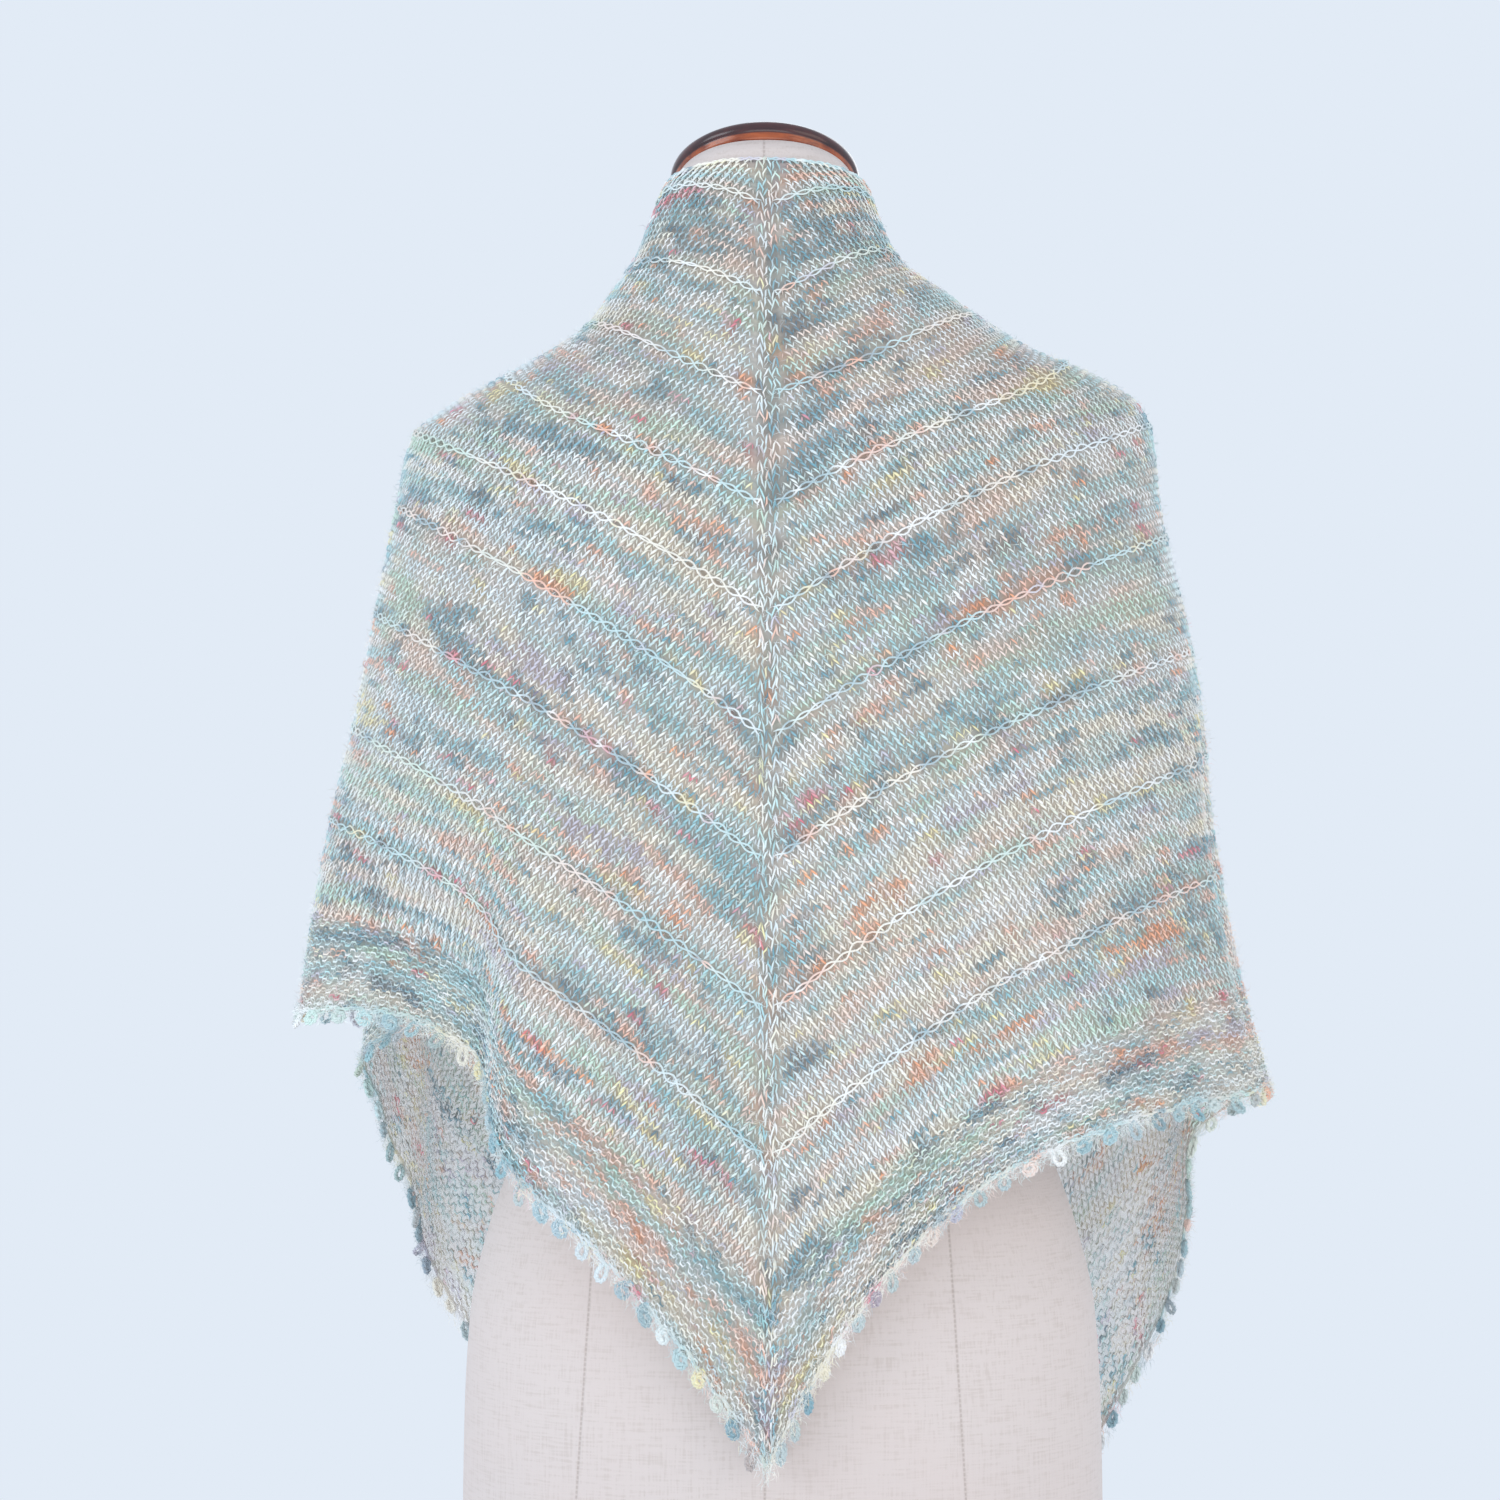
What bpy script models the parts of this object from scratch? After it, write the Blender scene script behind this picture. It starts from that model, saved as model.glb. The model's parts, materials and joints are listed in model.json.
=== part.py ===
"""A hand-knitted mohair shawl draped over a tabletop dress form.

Metres, +Z up. The form stands on its flat base at the origin. The wearer's
back, where the shawl's point hangs, faces -Y, and the wearer's left is -X.

The shawl is one shallow triangle of cloth, knitted from the neck down. Its
courses are V-shaped rows that run from the spine to the front edges. A place
on the cloth is named by two numbers: `down`, the distance from the neck edge
along the spine to its row, and `turn`, the angle round the form, 0 at the
spine, 90 degrees at the side and 180 at the middle of the front.
"""

import bpy
import bmesh
import numpy as np
from mathutils import Vector

# Driving dimensions of the cloth
CLOTH = 0.0018            # wall of the knitted cloth
SEAM = 0.0003             # gap between neighbouring pieces
ROW_SEAM = 0.0012         # the same gap between rows, along the spine, since rows slope
STEEP_SEAM = 0.0018       # the same above the front picots, where rows fall steeply
SPINE_HALF = 0.0045       # half the width of the open column down the spine
SPINE_RAISE = 0.0008      # the spine stands proud of the wings
RIDGE_RAISE = 0.0014      # twisted ridge of each eyelet row
RIDGE_HALF = 0.0032       # half its width
GARTER_RAISE = 0.0010     # ridges of the garter border
GARTER_RIDGES = 8         # their number down the border
BORDER_TOP = 0.582        # down: where the garter border starts
BORDER_END = 0.656        # down: where the bound-off edge starts
EDGE_END = 0.660          # down: where the picots leave the bound-off edge
PICOT_LONG = 0.0090       # length of a picot
PICOT_WIDE = 0.0056       # its greatest width
PICOT_ROOT = 0.0032       # its width at the root
PICOT_SWELL = 0.62        # how far down its length it is widest
PICOT_UNEVEN = 0.12       # share by which picots differ in length
PICOT_TURN = 2.4          # radians from one picot's length to the next one's
PICOT_PITCH = 0.0140      # spacing of the picots along the hem
ROW_STEP = 0.045          # widest plain stretch between rows of the wall's grid
SIDE_TURN = 88.0          # degrees: where the back stretch meets the front one
ROUNDNESS = 2.25          # exponent of the level sections, 2 is an ellipse
FORM_SIDES = 32           # sides of the form and of its cap

# Small steps and limits of the working
TURN_STEP = 0.2           # degrees either way, for a slope round the form
DOWN_STEP = 0.0015        # metres either way, for a slope down the cloth
SPINE_TURN = 0.25         # degrees: where lengths from the spine are measured
LEAST_FRONT = 6.0         # degrees: the shortest front stretch of a row
BACK_PAST = 1.2           # how far past the spine the rising curve runs on
FRONT_PAST = 1.3          # how far past the front edge the falling one does
STEEPEST = 30.0           # largest exponent in a tucked fold's step
STATION_GAP = 0.0004      # stations of the hem stand this far from a root
TIP_SHARE = 0.4           # width of the spine column at its very point

# Courses of the cloth, from the neck edge to the hem, read off the ridges.
# down: distance along the spine; spine, left, right: heights at the spine and
# at the two sides; lean: how much higher the row is at the back than at the
# side because the neck leans forward; edge_turn: angle of the front edge;
# left_edge, right_edge: heights there; left_bow, right_bow: how quickly the
# row rises from the spine.
COURSE_COLUMNS = ("down", "spine", "left", "right", "lean", "edge_turn",
                  "left_edge", "right_edge", "left_bow", "right_bow")
COURSES = (
    (0.000, 0.775, 0.762, 0.761, 0.014, 104, 0.757, 0.756, 2.2, 2.2),
    (0.029, 0.749, 0.757, 0.755, 0.010, 128, 0.742, 0.741, 3.0, 3.0),
    (0.082, 0.700, 0.720, 0.727, 0.007, 152, 0.708, 0.706, 3.0, 2.6),
    (0.139, 0.649, 0.691, 0.696, 0.004, 159, 0.660, 0.654, 2.4, 2.4),
    (0.199, 0.594, 0.668, 0.674, 0.000, 161, 0.607, 0.597, 2.2, 2.3),
    (0.252, 0.542, 0.638, 0.642, 0.000, 161, 0.558, 0.544, 2.2, 2.3),
    (0.313, 0.482, 0.601, 0.585, 0.000, 160, 0.500, 0.477, 2.2, 2.4),
    (0.373, 0.422, 0.547, 0.527, 0.000, 158, 0.441, 0.409, 2.2, 2.5),
    (0.445, 0.350, 0.489, 0.473, 0.000, 155, 0.370, 0.326, 2.2, 2.5),
    (0.516, 0.279, 0.443, 0.414, 0.000, 151, 0.300, 0.242, 2.1, 2.8),
    (0.582, 0.211, 0.394, 0.353, 0.000, 147, 0.234, 0.163, 2.3, 3.6),
    (0.668, 0.120, 0.337, 0.297, 0.000, 142, 0.148, 0.060, 2.8, 5.2),
)
RIDGE_COURSES = tuple(row[0] for row in COURSES[1:10])

# Level sections of the hanging cloth: height, half widths to the two sides,
# depth behind (-Y) and in front (+Y).
SECTION_COLUMNS = ("height", "left", "right", "back", "front")
SECTIONS = (
    (0.050, 0.248, 0.262, 0.127, 0.142),
    (0.200, 0.247, 0.262, 0.127, 0.144),
    (0.297, 0.244, 0.259, 0.127, 0.146),
    (0.341, 0.239, 0.248, 0.127, 0.147),
    (0.391, 0.232, 0.237, 0.126, 0.147),
    (0.445, 0.222, 0.228, 0.126, 0.147),
    (0.489, 0.211, 0.224, 0.1245, 0.146),
    (0.545, 0.200, 0.214, 0.1225, 0.140),
    (0.600, 0.189, 0.201, 0.1180, 0.127),
    (0.635, 0.181, 0.197, 0.1084, 0.111),
    (0.650, 0.163, 0.191, 0.1015, 0.101),
    (0.666, 0.134, 0.168, 0.0936, 0.091),
    (0.678, 0.112, 0.139, 0.0879, 0.086),
    (0.691, 0.093, 0.116, 0.0801, 0.080),
    (0.708, 0.080, 0.092, 0.0701, 0.075),
    (0.727, 0.067, 0.067, 0.0593, 0.072),
    (0.745, 0.060, 0.058, 0.0479, 0.071),
    (0.767, 0.0515, 0.0505, 0.0353, 0.071),
    (0.790, 0.0470, 0.0465, 0.0240, 0.071),
)

# Folds of the hanging cloth. angle: where the fold stands, in degrees of
# turn; width: its half width; reach: where a tucked fold has run out; depth:
# how far it stands out (+) or tucks in (-); lift: how much it raises the
# hem; start: the course where it begins.
FOLD_COLUMNS = ("angle", "width", "reach", "depth", "lift", "start")
LEFT_FOLDS = (
    (33.5, 1.5, 82, -0.030, 0.030, 0.40),
    (27.0, 7.0, 0, 0.006, 0.000, 0.42),
    (70.0, 7.0, 0, 0.007, 0.000, 0.48),
    (101.0, 9.0, 0, -0.052, 0.000, 0.40),
    (118.0, 7.0, 0, -0.022, 0.000, 0.30),
    (129.0, 5.5, 0, -0.016, 0.000, 0.29),
    (138.0, 5.5, 0, 0.017, 0.000, 0.25),
)
RIGHT_FOLDS = (
    (22.0, 6.0, 0, -0.004, 0.000, 0.48),
    (35.0, 8.0, 0, 0.006, 0.000, 0.46),
    (56.0, 7.0, 0, -0.007, 0.000, 0.48),
    (80.0, 6.0, 0, -0.009, 0.000, 0.23),
    (110.0, 9.5, 0, -0.034, 0.000, 0.40),
    (121.0, 7.0, 0, -0.006, 0.000, 0.30),
    (131.0, 6.0, 0, 0.009, 0.000, 0.25),
    (147.0, 5.0, 0, -0.008, 0.000, 0.29),
)

# Rings of the dress form: height of the ring's middle, where its middle lies
# across and front to back, half width, half depth, and the ring's forward
# lean in degrees.
FORM_COLUMNS = ("height", "across", "along", "half_width", "half_depth", "lean")
FORM_RINGS = (
    (0.000, 0.008, -0.004, 0.157, 0.103, 0),
    (0.012, 0.008, -0.004, 0.160, 0.105, 0),
    (0.070, 0.008, -0.005, 0.164, 0.108, 0),
    (0.137, 0.008, -0.006, 0.163, 0.107, 0),
    (0.190, 0.008, -0.005, 0.160, 0.104, 0),
    (0.235, 0.008, -0.003, 0.150, 0.098, 0),
    (0.285, 0.008, 0.000, 0.132, 0.088, 0),
    (0.345, 0.008, 0.003, 0.117, 0.082, 0),
    (0.400, 0.008, 0.005, 0.123, 0.091, 0),
    (0.455, 0.008, 0.007, 0.138, 0.107, 0),
    (0.515, 0.008, 0.007, 0.153, 0.120, 0),
    (0.565, 0.008, 0.004, 0.165, 0.119, 0),
    (0.605, 0.008, 0.001, 0.174, 0.113, 0),
    (0.631, 0.008, -0.001, 0.174, 0.1030, 0),
    (0.648, 0.008, -0.002, 0.160, 0.0945, 0),
    (0.662, 0.008, -0.002, 0.137, 0.0870, 1),
    (0.675, 0.007, -0.002, 0.112, 0.0795, 3),
    (0.690, 0.005, 0.000, 0.0890, 0.0715, 6),
    (0.705, 0.002, 0.002, 0.0730, 0.0638, 9),
    (0.721, 0.000, 0.006, 0.0615, 0.0583, 13),
    (0.736, -0.001, 0.0105, 0.0530, 0.0535, 18),
    (0.752, -0.001, 0.0160, 0.0490, 0.0500, 23),
    (0.7645, -0.001, 0.0215, 0.0472, 0.0475, 27),
)
SHARP_ANGLE = 40.0        # degrees: edges of the turned pieces steeper than this stay sharp

# Wooden neck cap: a turned disc, from its lower lip up.
CAP_COLUMNS = ("up", "radius")
CAP_PROFILE = (
    (0.0000, 0.0455),
    (0.0022, 0.0472),
    (0.0044, 0.0478),
    (0.0052, 0.0488),
    (0.0088, 0.0490),
    (0.0108, 0.0476),
    (0.0118, 0.0440),
)

COLOURS = {
    "aqua_mohair": (0.58, 0.71, 0.68),
    "pale_mohair": (0.70, 0.77, 0.72),
    "oatmeal_linen": (0.80, 0.75, 0.71),
    "varnished_wood": (0.24, 0.09, 0.045),
}


def clear_scene():
    for thing in list(bpy.data.objects):
        bpy.data.objects.remove(thing, do_unlink=True)


def material(name, roughness, metallic=0.0):
    found = bpy.data.materials.get(name)
    if found:
        return found
    made = bpy.data.materials.new(name)
    made.use_nodes = True
    shader = made.node_tree.nodes["Principled BSDF"]
    shader.inputs["Base Color"].default_value = (*COLOURS[name], 1.0)
    shader.inputs["Roughness"].default_value = roughness
    shader.inputs["Metallic"].default_value = metallic
    return made


def columns(names, rows):
    table = np.array(rows, dtype=float)
    return {name: table[:, i] for i, name in enumerate(names)}


def smooth_curve(x, knots, values):
    """Smooth curve through a table that never overshoots it: a cubic in each
    interval, with the harmonic mean of the neighbouring slopes at each knot."""
    step = np.diff(knots)
    slope = np.diff(values) / step
    joined = slope[:-1] * slope[1:]
    total = np.where(joined > 0, slope[:-1] + slope[1:], 1.0)
    inner = np.where(joined > 0, 2.0 * joined / total, 0.0)
    rate = np.concatenate(([slope[0]], inner, [slope[-1]]))
    i = np.clip(np.searchsorted(knots, x) - 1, 0, len(step) - 1)
    u = (x - knots[i]) / step[i]
    clamped = np.clip(u, 0.0, 1.0)
    h00 = (1 + 2 * clamped) * (1 - clamped) ** 2
    h10 = clamped * (1 - clamped) ** 2
    h01 = clamped ** 2 * (3 - 2 * clamped)
    h11 = clamped ** 2 * (clamped - 1)
    inside = (h00 * values[i] + h10 * step[i] * rate[i]
              + h01 * values[i + 1] + h11 * step[i] * rate[i + 1])
    end_rate = np.where(u > 1, rate[i + 1], rate[i])
    return inside + (u - clamped) * step[i] * end_rate


def ramp(u):
    u = np.clip(u, 0.0, 1.0)
    return u * u * (3 - 2 * u)


COURSE = columns(COURSE_COLUMNS, COURSES)
SECTION = columns(SECTION_COLUMNS, SECTIONS)
HEM = COURSE["down"][-1]


def course_value(name, down):
    return smooth_curve(down, COURSE["down"], COURSE[name])


def section_value(name, height):
    return smooth_curve(height, SECTION["height"], SECTION[name])


def rounded(sine, cosine):
    """Radius of a level section of half axes 1: a little squarer than a circle."""
    total = np.abs(sine) ** ROUNDNESS + np.abs(cosine) ** ROUNDNESS
    return total ** (-1 / ROUNDNESS)


def drape(down, turn, side):
    """Point of the cloth: its row gives a height that rises from the spine
    to the side and falls again to the front edge, the level section at that
    height gives the place round the form, and the folds move it in or out."""
    wing = "right" if side > 0 else "left"
    down, turn = np.broadcast_arrays(np.asarray(down, float), np.asarray(turn, float))
    angle = np.radians(turn)
    lean = course_value("lean", down)
    at_side = course_value(wing, down)
    drop_back = at_side + lean - course_value("spine", down)
    bow = course_value(wing + "_bow", down)
    edge_turn = course_value("edge_turn", down)
    drop_front = at_side - course_value(wing + "_edge", down)
    back_share = np.clip(1 - turn / 90.0, 0.0, BACK_PAST)
    front_run = np.maximum(edge_turn - 90.0, LEAST_FRONT)
    front_share = np.clip((turn - 90.0) / front_run, 0.0, FRONT_PAST)
    height = (at_side - drop_back * back_share ** bow
              + lean * np.maximum(np.cos(angle), 0)
              - drop_front * front_share * front_share)
    push = np.zeros_like(height)
    for row in (RIGHT_FOLDS if side > 0 else LEFT_FOLDS):
        fold = dict(zip(FOLD_COLUMNS, row))
        grown = ramp((down - fold["start"]) / (HEM - fold["start"]))
        off = (turn - fold["angle"]) / fold["width"]
        if fold["reach"]:
            tuck = 1 / (1 + np.exp(-np.clip(off, -STEEPEST, STEEPEST)))
            run = fold["reach"] - fold["angle"]
            share = tuck * (1 - ramp((turn - fold["angle"]) / run))
        else:
            share = np.exp(-off * off)
        push = push + fold["depth"] * grown * share
        height = height + fold["lift"] * grown * share
    width = section_value(wing, height)
    depth_back = section_value("back", height)
    depth_front = section_value("front", height)
    depth = np.where(turn <= 90.0, depth_back, depth_front)
    sine, cosine = np.sin(angle), np.cos(angle)
    scale = rounded(sine, cosine)
    x = width * sine * scale
    y = -depth * cosine * scale
    out_x, out_y = depth * sine, -width * cosine
    norm = np.hypot(out_x, out_y)
    x = x + push * out_x / norm
    y = y + push * out_y / norm
    return np.stack([side * x, y, height], axis=-1)


def drape_normal(down, turn, side):
    """Outward unit normal of the draped cloth, from small steps each way."""
    along = drape(down, turn + TURN_STEP, side) - drape(down, turn - TURN_STEP, side)
    falling = drape(down + DOWN_STEP, turn, side) - drape(down - DOWN_STEP, turn, side)
    normal = side * np.cross(falling, along)
    return normal / np.linalg.norm(normal, axis=-1, keepdims=True)


def turn_after(down, turn, distance, side):
    """Angle that lies a given distance further round the same row."""
    step = drape(down, turn + TURN_STEP, side) - drape(down, turn - TURN_STEP, side)
    return turn + 2 * TURN_STEP * distance / np.linalg.norm(step, axis=-1)


def new_object(name, mesh_maker, finish):
    mesh = bpy.data.meshes.new(name)
    mesh_maker.to_mesh(mesh)
    mesh_maker.free()
    mesh.shade_smooth()
    thing = bpy.data.objects.new(name, mesh)
    bpy.context.scene.collection.objects.link(thing)
    thing.data.materials.append(finish)
    return thing


def wall(name, outer, inner, faces, finish):
    """Closed wall: an outer skin, the same skin moved in, and a rim along
    every open edge."""
    shape = bmesh.new()
    count = len(outer)
    points = [shape.verts.new(p) for p in np.concatenate([outer, inner])]
    used = {}
    for face in faces:
        shape.faces.new([points[i] for i in face])
        shape.faces.new([points[i + count] for i in reversed(face)])
        for a, b in zip(face, face[1:] + face[:1]):
            used[(a, b)] = used.get((a, b), 0) + 1
    for a, b in used:
        if (b, a) not in used:
            shape.faces.new([points[b], points[a], points[a + count], points[b + count]])
    bmesh.ops.recalc_face_normals(shape, faces=shape.faces)
    return new_object(name, shape, finish)


def cloth_wall(name, down, turn, raised, side, finish):
    """Wall over a grid of rows and angles, its outer points raised."""
    rows, across = down.shape
    outward = drape_normal(down, turn, side)
    middle = drape(down, turn, side)
    outer = (middle + outward * raised[..., None]).reshape(-1, 3)
    inner = (middle - outward * CLOTH).reshape(-1, 3)
    faces = [[i * across + j, (i + 1) * across + j, (i + 1) * across + j + 1, i * across + j + 1]
             for i in range(rows - 1) for j in range(across - 1)]
    return wall(name, outer, inner, faces, finish)


def wing_rows():
    """Rows of a wing: three for each eyelet ridge and some in between."""
    rows, raised = [0.0], [0.0]
    for course in RIDGE_COURSES:
        start, end = rows[-1], course - RIDGE_HALF
        extra = int((end - start) // ROW_STEP)
        rows += [start + (end - start) * i / (extra + 1) for i in range(1, extra + 1)]
        rows += [end, course, course + RIDGE_HALF]
        raised += [0.0] * (extra + 1) + [RIDGE_RAISE, 0.0]
    start, end = rows[-1], BORDER_TOP - ROW_SEAM
    rows += [(start + end) / 2, end]
    raised += [0.0, 0.0]
    return np.array(rows), np.array(raised)


def border_rows():
    """Rows of the garter border: low and high by turns."""
    rows = np.linspace(BORDER_TOP, BORDER_END, 2 * GARTER_RIDGES + 1)
    raised = np.where(np.arange(len(rows)) % 2 == 1, GARTER_RAISE, 0.0)
    return rows, raised


# Angles of the wall's grid between the spine and the side, close together at
# the tucked fold, and shares of the way from the side to the front edge.
BACK_TURNS = {
    -1: np.array([9, 19, 27, 31, 33, 34.5, 37, 42, 52, 63, 76]),
    1: np.array([10, 20, 30, 41, 54, 67, 78]),
}
FRONT_SHARES = np.array([0.16, 0.31, 0.46, 0.61, 0.75, 0.88])


def spine_turn(down, side):
    """Angle at which the wing starts beside the spine column."""
    return turn_after(down, np.full_like(down, SPINE_TURN), SPINE_HALF + SEAM, side)


def back_grid(rows, side):
    start = spine_turn(rows, side)
    turns = [start] + [np.full_like(rows, t) for t in BACK_TURNS[side]]
    turns.append(np.full_like(rows, SIDE_TURN))
    return np.broadcast_to(rows[:, None], (len(rows), len(turns))), np.stack(turns, axis=1)


def front_grid(rows, side):
    start = turn_after(rows, np.full_like(rows, SIDE_TURN), SEAM, side)
    end = course_value("edge_turn", rows)
    turns = [start] + [start + share * (end - start) for share in FRONT_SHARES] + [end]
    return np.broadcast_to(rows[:, None], (len(rows), len(turns))), np.stack(turns, axis=1)


def edge_points(down, turn, corners, side):
    """Points and outward directions along the hem, straight between the
    corners of the border above, so that the two edges stay parallel."""
    first = np.clip(np.searchsorted(corners, turn, side="right") - 1, 0, len(corners) - 2)
    share = ((turn - corners[first]) / (corners[first + 1] - corners[first]))[:, None]
    middle = (drape(down, corners[first], side) * (1 - share)
              + drape(down, corners[first + 1], side) * share)
    outward = (drape_normal(down, corners[first], side) * (1 - share)
               + drape_normal(down, corners[first + 1], side) * share)
    return middle, outward


def picot_edge(name, corners, seam, side, finish):
    """Bound-off edge of one stretch of the hem with its picots: a narrow
    wall whose lower edge grows a small petal at every pitch."""
    top, low = BORDER_END + seam, EDGE_END
    line, _ = edge_points(np.full(len(corners), low), corners, corners, side)
    length = np.concatenate([[0], np.cumsum(np.linalg.norm(np.diff(line, axis=0), axis=1))])
    number = int(length[-1] // PICOT_PITCH)
    middles = (np.arange(number) + 0.5) * length[-1] / number
    roots = np.concatenate([middles - PICOT_ROOT / 2, middles + PICOT_ROOT / 2])
    clear = [d for d in length if np.abs(d - roots).min() > STATION_GAP]
    stations = np.sort(np.concatenate([roots, clear]))
    down = [top] * len(stations) + [low] * len(stations)
    place = list(stations) * 2
    count = len(stations)
    faces = [[i, i + count, i + count + 1, i + 1] for i in range(count - 1)]
    for i, middle in enumerate(middles):
        near = np.abs(stations - middle) < (PICOT_ROOT + STATION_GAP) / 2
        at_root = [count + j for j in np.flatnonzero(near)]
        swell = low + PICOT_SWELL * PICOT_LONG
        tip = low + PICOT_LONG * (1.0 + PICOT_UNEVEN * np.sin(PICOT_TURN * i))
        first = len(down)
        down += [swell, swell, tip, tip]
        place += [middle - PICOT_WIDE / 2, middle + PICOT_WIDE / 2,
                  middle - PICOT_ROOT / 2, middle + PICOT_ROOT / 2]
        faces.append([at_root[0], first, first + 1] + at_root[:0:-1])
        faces.append([first, first + 2, first + 3, first + 1])
    turn = np.interp(place, length, corners)
    middle, outward = edge_points(np.array(down), turn, corners, side)
    return wall(name, middle, middle - outward * CLOTH, faces, finish)


def build_wing(side):
    """One wing in its two stretches, each with its border and picots."""
    hand = "right" if side > 0 else "left"
    mohair = material("aqua_mohair", 0.9)
    garter = material("pale_mohair", 0.92)
    rows, raised = wing_rows()
    edge_rows, edge_raised = border_rows()
    for stretch, grid, seam in (("back", back_grid, ROW_SEAM), ("front", front_grid, STEEP_SEAM)):
        down, turn = grid(rows, side)
        cloth_wall(f"{stretch}_wing_{hand}", down, turn,
                   np.broadcast_to(raised[:, None], down.shape), side, mohair)
        down, turn = grid(edge_rows, side)
        cloth_wall(f"{stretch}_border_{hand}", down, turn,
                   np.broadcast_to(edge_raised[:, None], down.shape), side, garter)
        picot_edge(f"{stretch}_picots_{hand}", turn[-1], seam, side, garter)


def build_spine():
    """Open column down the middle of the back, from the neck to the point."""
    rows, _ = wing_rows()
    edge_rows, _ = border_rows()
    rows = np.concatenate([rows[:-1], edge_rows[::2], [EDGE_END, EDGE_END + PICOT_LONG]])
    half = SPINE_HALF * np.ones_like(rows)
    half[-1] *= TIP_SHARE
    outer, inner = [], []
    for side, share in ((-1, 1.0), (-1, 0.5), (1, 0.0), (1, 0.5), (1, 1.0)):
        turn = turn_after(rows, np.full_like(rows, SPINE_TURN), half * share, side) - SPINE_TURN
        outward = drape_normal(rows, turn, side)
        middle = drape(rows, turn, side)
        outer.append(middle + outward * SPINE_RAISE * (1 - share * share))
        inner.append(middle - outward * CLOTH)
    across = len(outer)
    outer = np.stack(outer, axis=1).reshape(-1, 3)
    inner = np.stack(inner, axis=1).reshape(-1, 3)
    faces = [[i * across + j, (i + 1) * across + j, (i + 1) * across + j + 1, i * across + j + 1]
             for i in range(len(rows) - 1) for j in range(across - 1)]
    return wall("spine_column", outer, inner, faces, material("pale_mohair", 0.92))


def ring_points(ring):
    """Points of one ring of the form, leaning forward by its own angle."""
    angle = np.linspace(0, 2 * np.pi, FORM_SIDES, endpoint=False)
    lean = np.radians(ring["lean"])
    sine, cosine = np.sin(angle), np.cos(angle)
    scale = rounded(sine, cosine)
    x = ring["across"] + ring["half_width"] * sine * scale
    deep = ring["half_depth"] * cosine * scale
    y = ring["along"] - deep * np.cos(lean)
    z = ring["height"] + deep * np.sin(lean)
    return np.stack([x, y, z], axis=1)


def lathe_solid(name, rings, finish):
    """Closed solid through stacked rings, flat at both ends."""
    shape = bmesh.new()
    loops = [[shape.verts.new(p) for p in ring] for ring in rings]
    for low, high in zip(loops[:-1], loops[1:]):
        for i in range(len(low)):
            j = (i + 1) % len(low)
            shape.faces.new([low[i], low[j], high[j], high[i]])
    shape.faces.new(loops[0])
    shape.faces.new(loops[-1])
    bmesh.ops.recalc_face_normals(shape, faces=shape.faces)
    thing = new_object(name, shape, finish)
    thing.data.set_sharp_from_angle(angle=np.radians(SHARP_ANGLE))
    return thing


def build_form():
    """Limbless form: a smooth torso and neck, flat at the base."""
    rings = [ring_points(dict(zip(FORM_COLUMNS, row))) for row in FORM_RINGS]
    return lathe_solid("dress_form", rings, material("oatmeal_linen", 0.95))


def build_cap():
    """Turned wooden cap, lying on the leaning top of the neck."""
    neck = dict(zip(FORM_COLUMNS, FORM_RINGS[-1]))
    lean = np.radians(neck["lean"])
    up = Vector((0, np.sin(lean), np.cos(lean)))
    back = Vector((0, -np.cos(lean), np.sin(lean)))
    middle = Vector((neck["across"], neck["along"], neck["height"])) + up * SEAM
    profile = columns(CAP_COLUMNS, CAP_PROFILE)
    angles = np.linspace(0, 2 * np.pi, FORM_SIDES, endpoint=False)
    rings = []
    for rise, radius in zip(profile["up"], profile["radius"]):
        rings.append([middle + up * rise + back * (radius * np.cos(angle))
                      + Vector((radius * np.sin(angle), 0, 0)) for angle in angles])
    return lathe_solid("neck_cap", rings, material("varnished_wood", 0.25))


def main():
    clear_scene()
    build_form()
    build_cap()
    build_spine()
    for side in (-1, 1):
        build_wing(side)


main()
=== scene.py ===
# %% [markdown]
# # A mohair shawl on a tabletop dress form
#
# This lesson dresses a finished solid model. The solids give the true sizes and
# the drape, and the cells below knit the cloth stitch by stitch over them, cover
# the form in linen and varnish its wooden cap. Everything is in metres, +Z is up,
# and the wearer's back, where the shawl's point hangs, faces -Y.

# %% Load the frame
import json

import bpy
import numpy as np
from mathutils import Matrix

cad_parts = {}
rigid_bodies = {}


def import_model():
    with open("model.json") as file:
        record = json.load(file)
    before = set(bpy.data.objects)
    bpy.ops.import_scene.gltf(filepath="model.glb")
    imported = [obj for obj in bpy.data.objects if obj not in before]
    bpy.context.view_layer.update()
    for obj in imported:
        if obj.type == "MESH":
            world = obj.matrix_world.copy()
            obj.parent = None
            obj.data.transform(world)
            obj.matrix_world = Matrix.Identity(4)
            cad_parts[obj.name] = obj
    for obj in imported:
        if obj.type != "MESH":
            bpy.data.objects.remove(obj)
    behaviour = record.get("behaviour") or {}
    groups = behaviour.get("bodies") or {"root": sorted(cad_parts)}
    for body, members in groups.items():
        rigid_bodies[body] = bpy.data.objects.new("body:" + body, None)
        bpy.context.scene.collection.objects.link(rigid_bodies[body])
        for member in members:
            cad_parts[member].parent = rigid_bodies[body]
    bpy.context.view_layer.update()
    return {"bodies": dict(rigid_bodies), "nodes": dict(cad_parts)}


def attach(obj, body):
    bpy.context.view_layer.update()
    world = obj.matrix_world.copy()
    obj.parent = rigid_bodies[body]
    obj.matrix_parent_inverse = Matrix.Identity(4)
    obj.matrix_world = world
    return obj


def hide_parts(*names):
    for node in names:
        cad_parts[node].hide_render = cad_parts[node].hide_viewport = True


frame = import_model()
BODY = next(iter(frame["bodies"]))
rng = np.random.default_rng(7)

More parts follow.
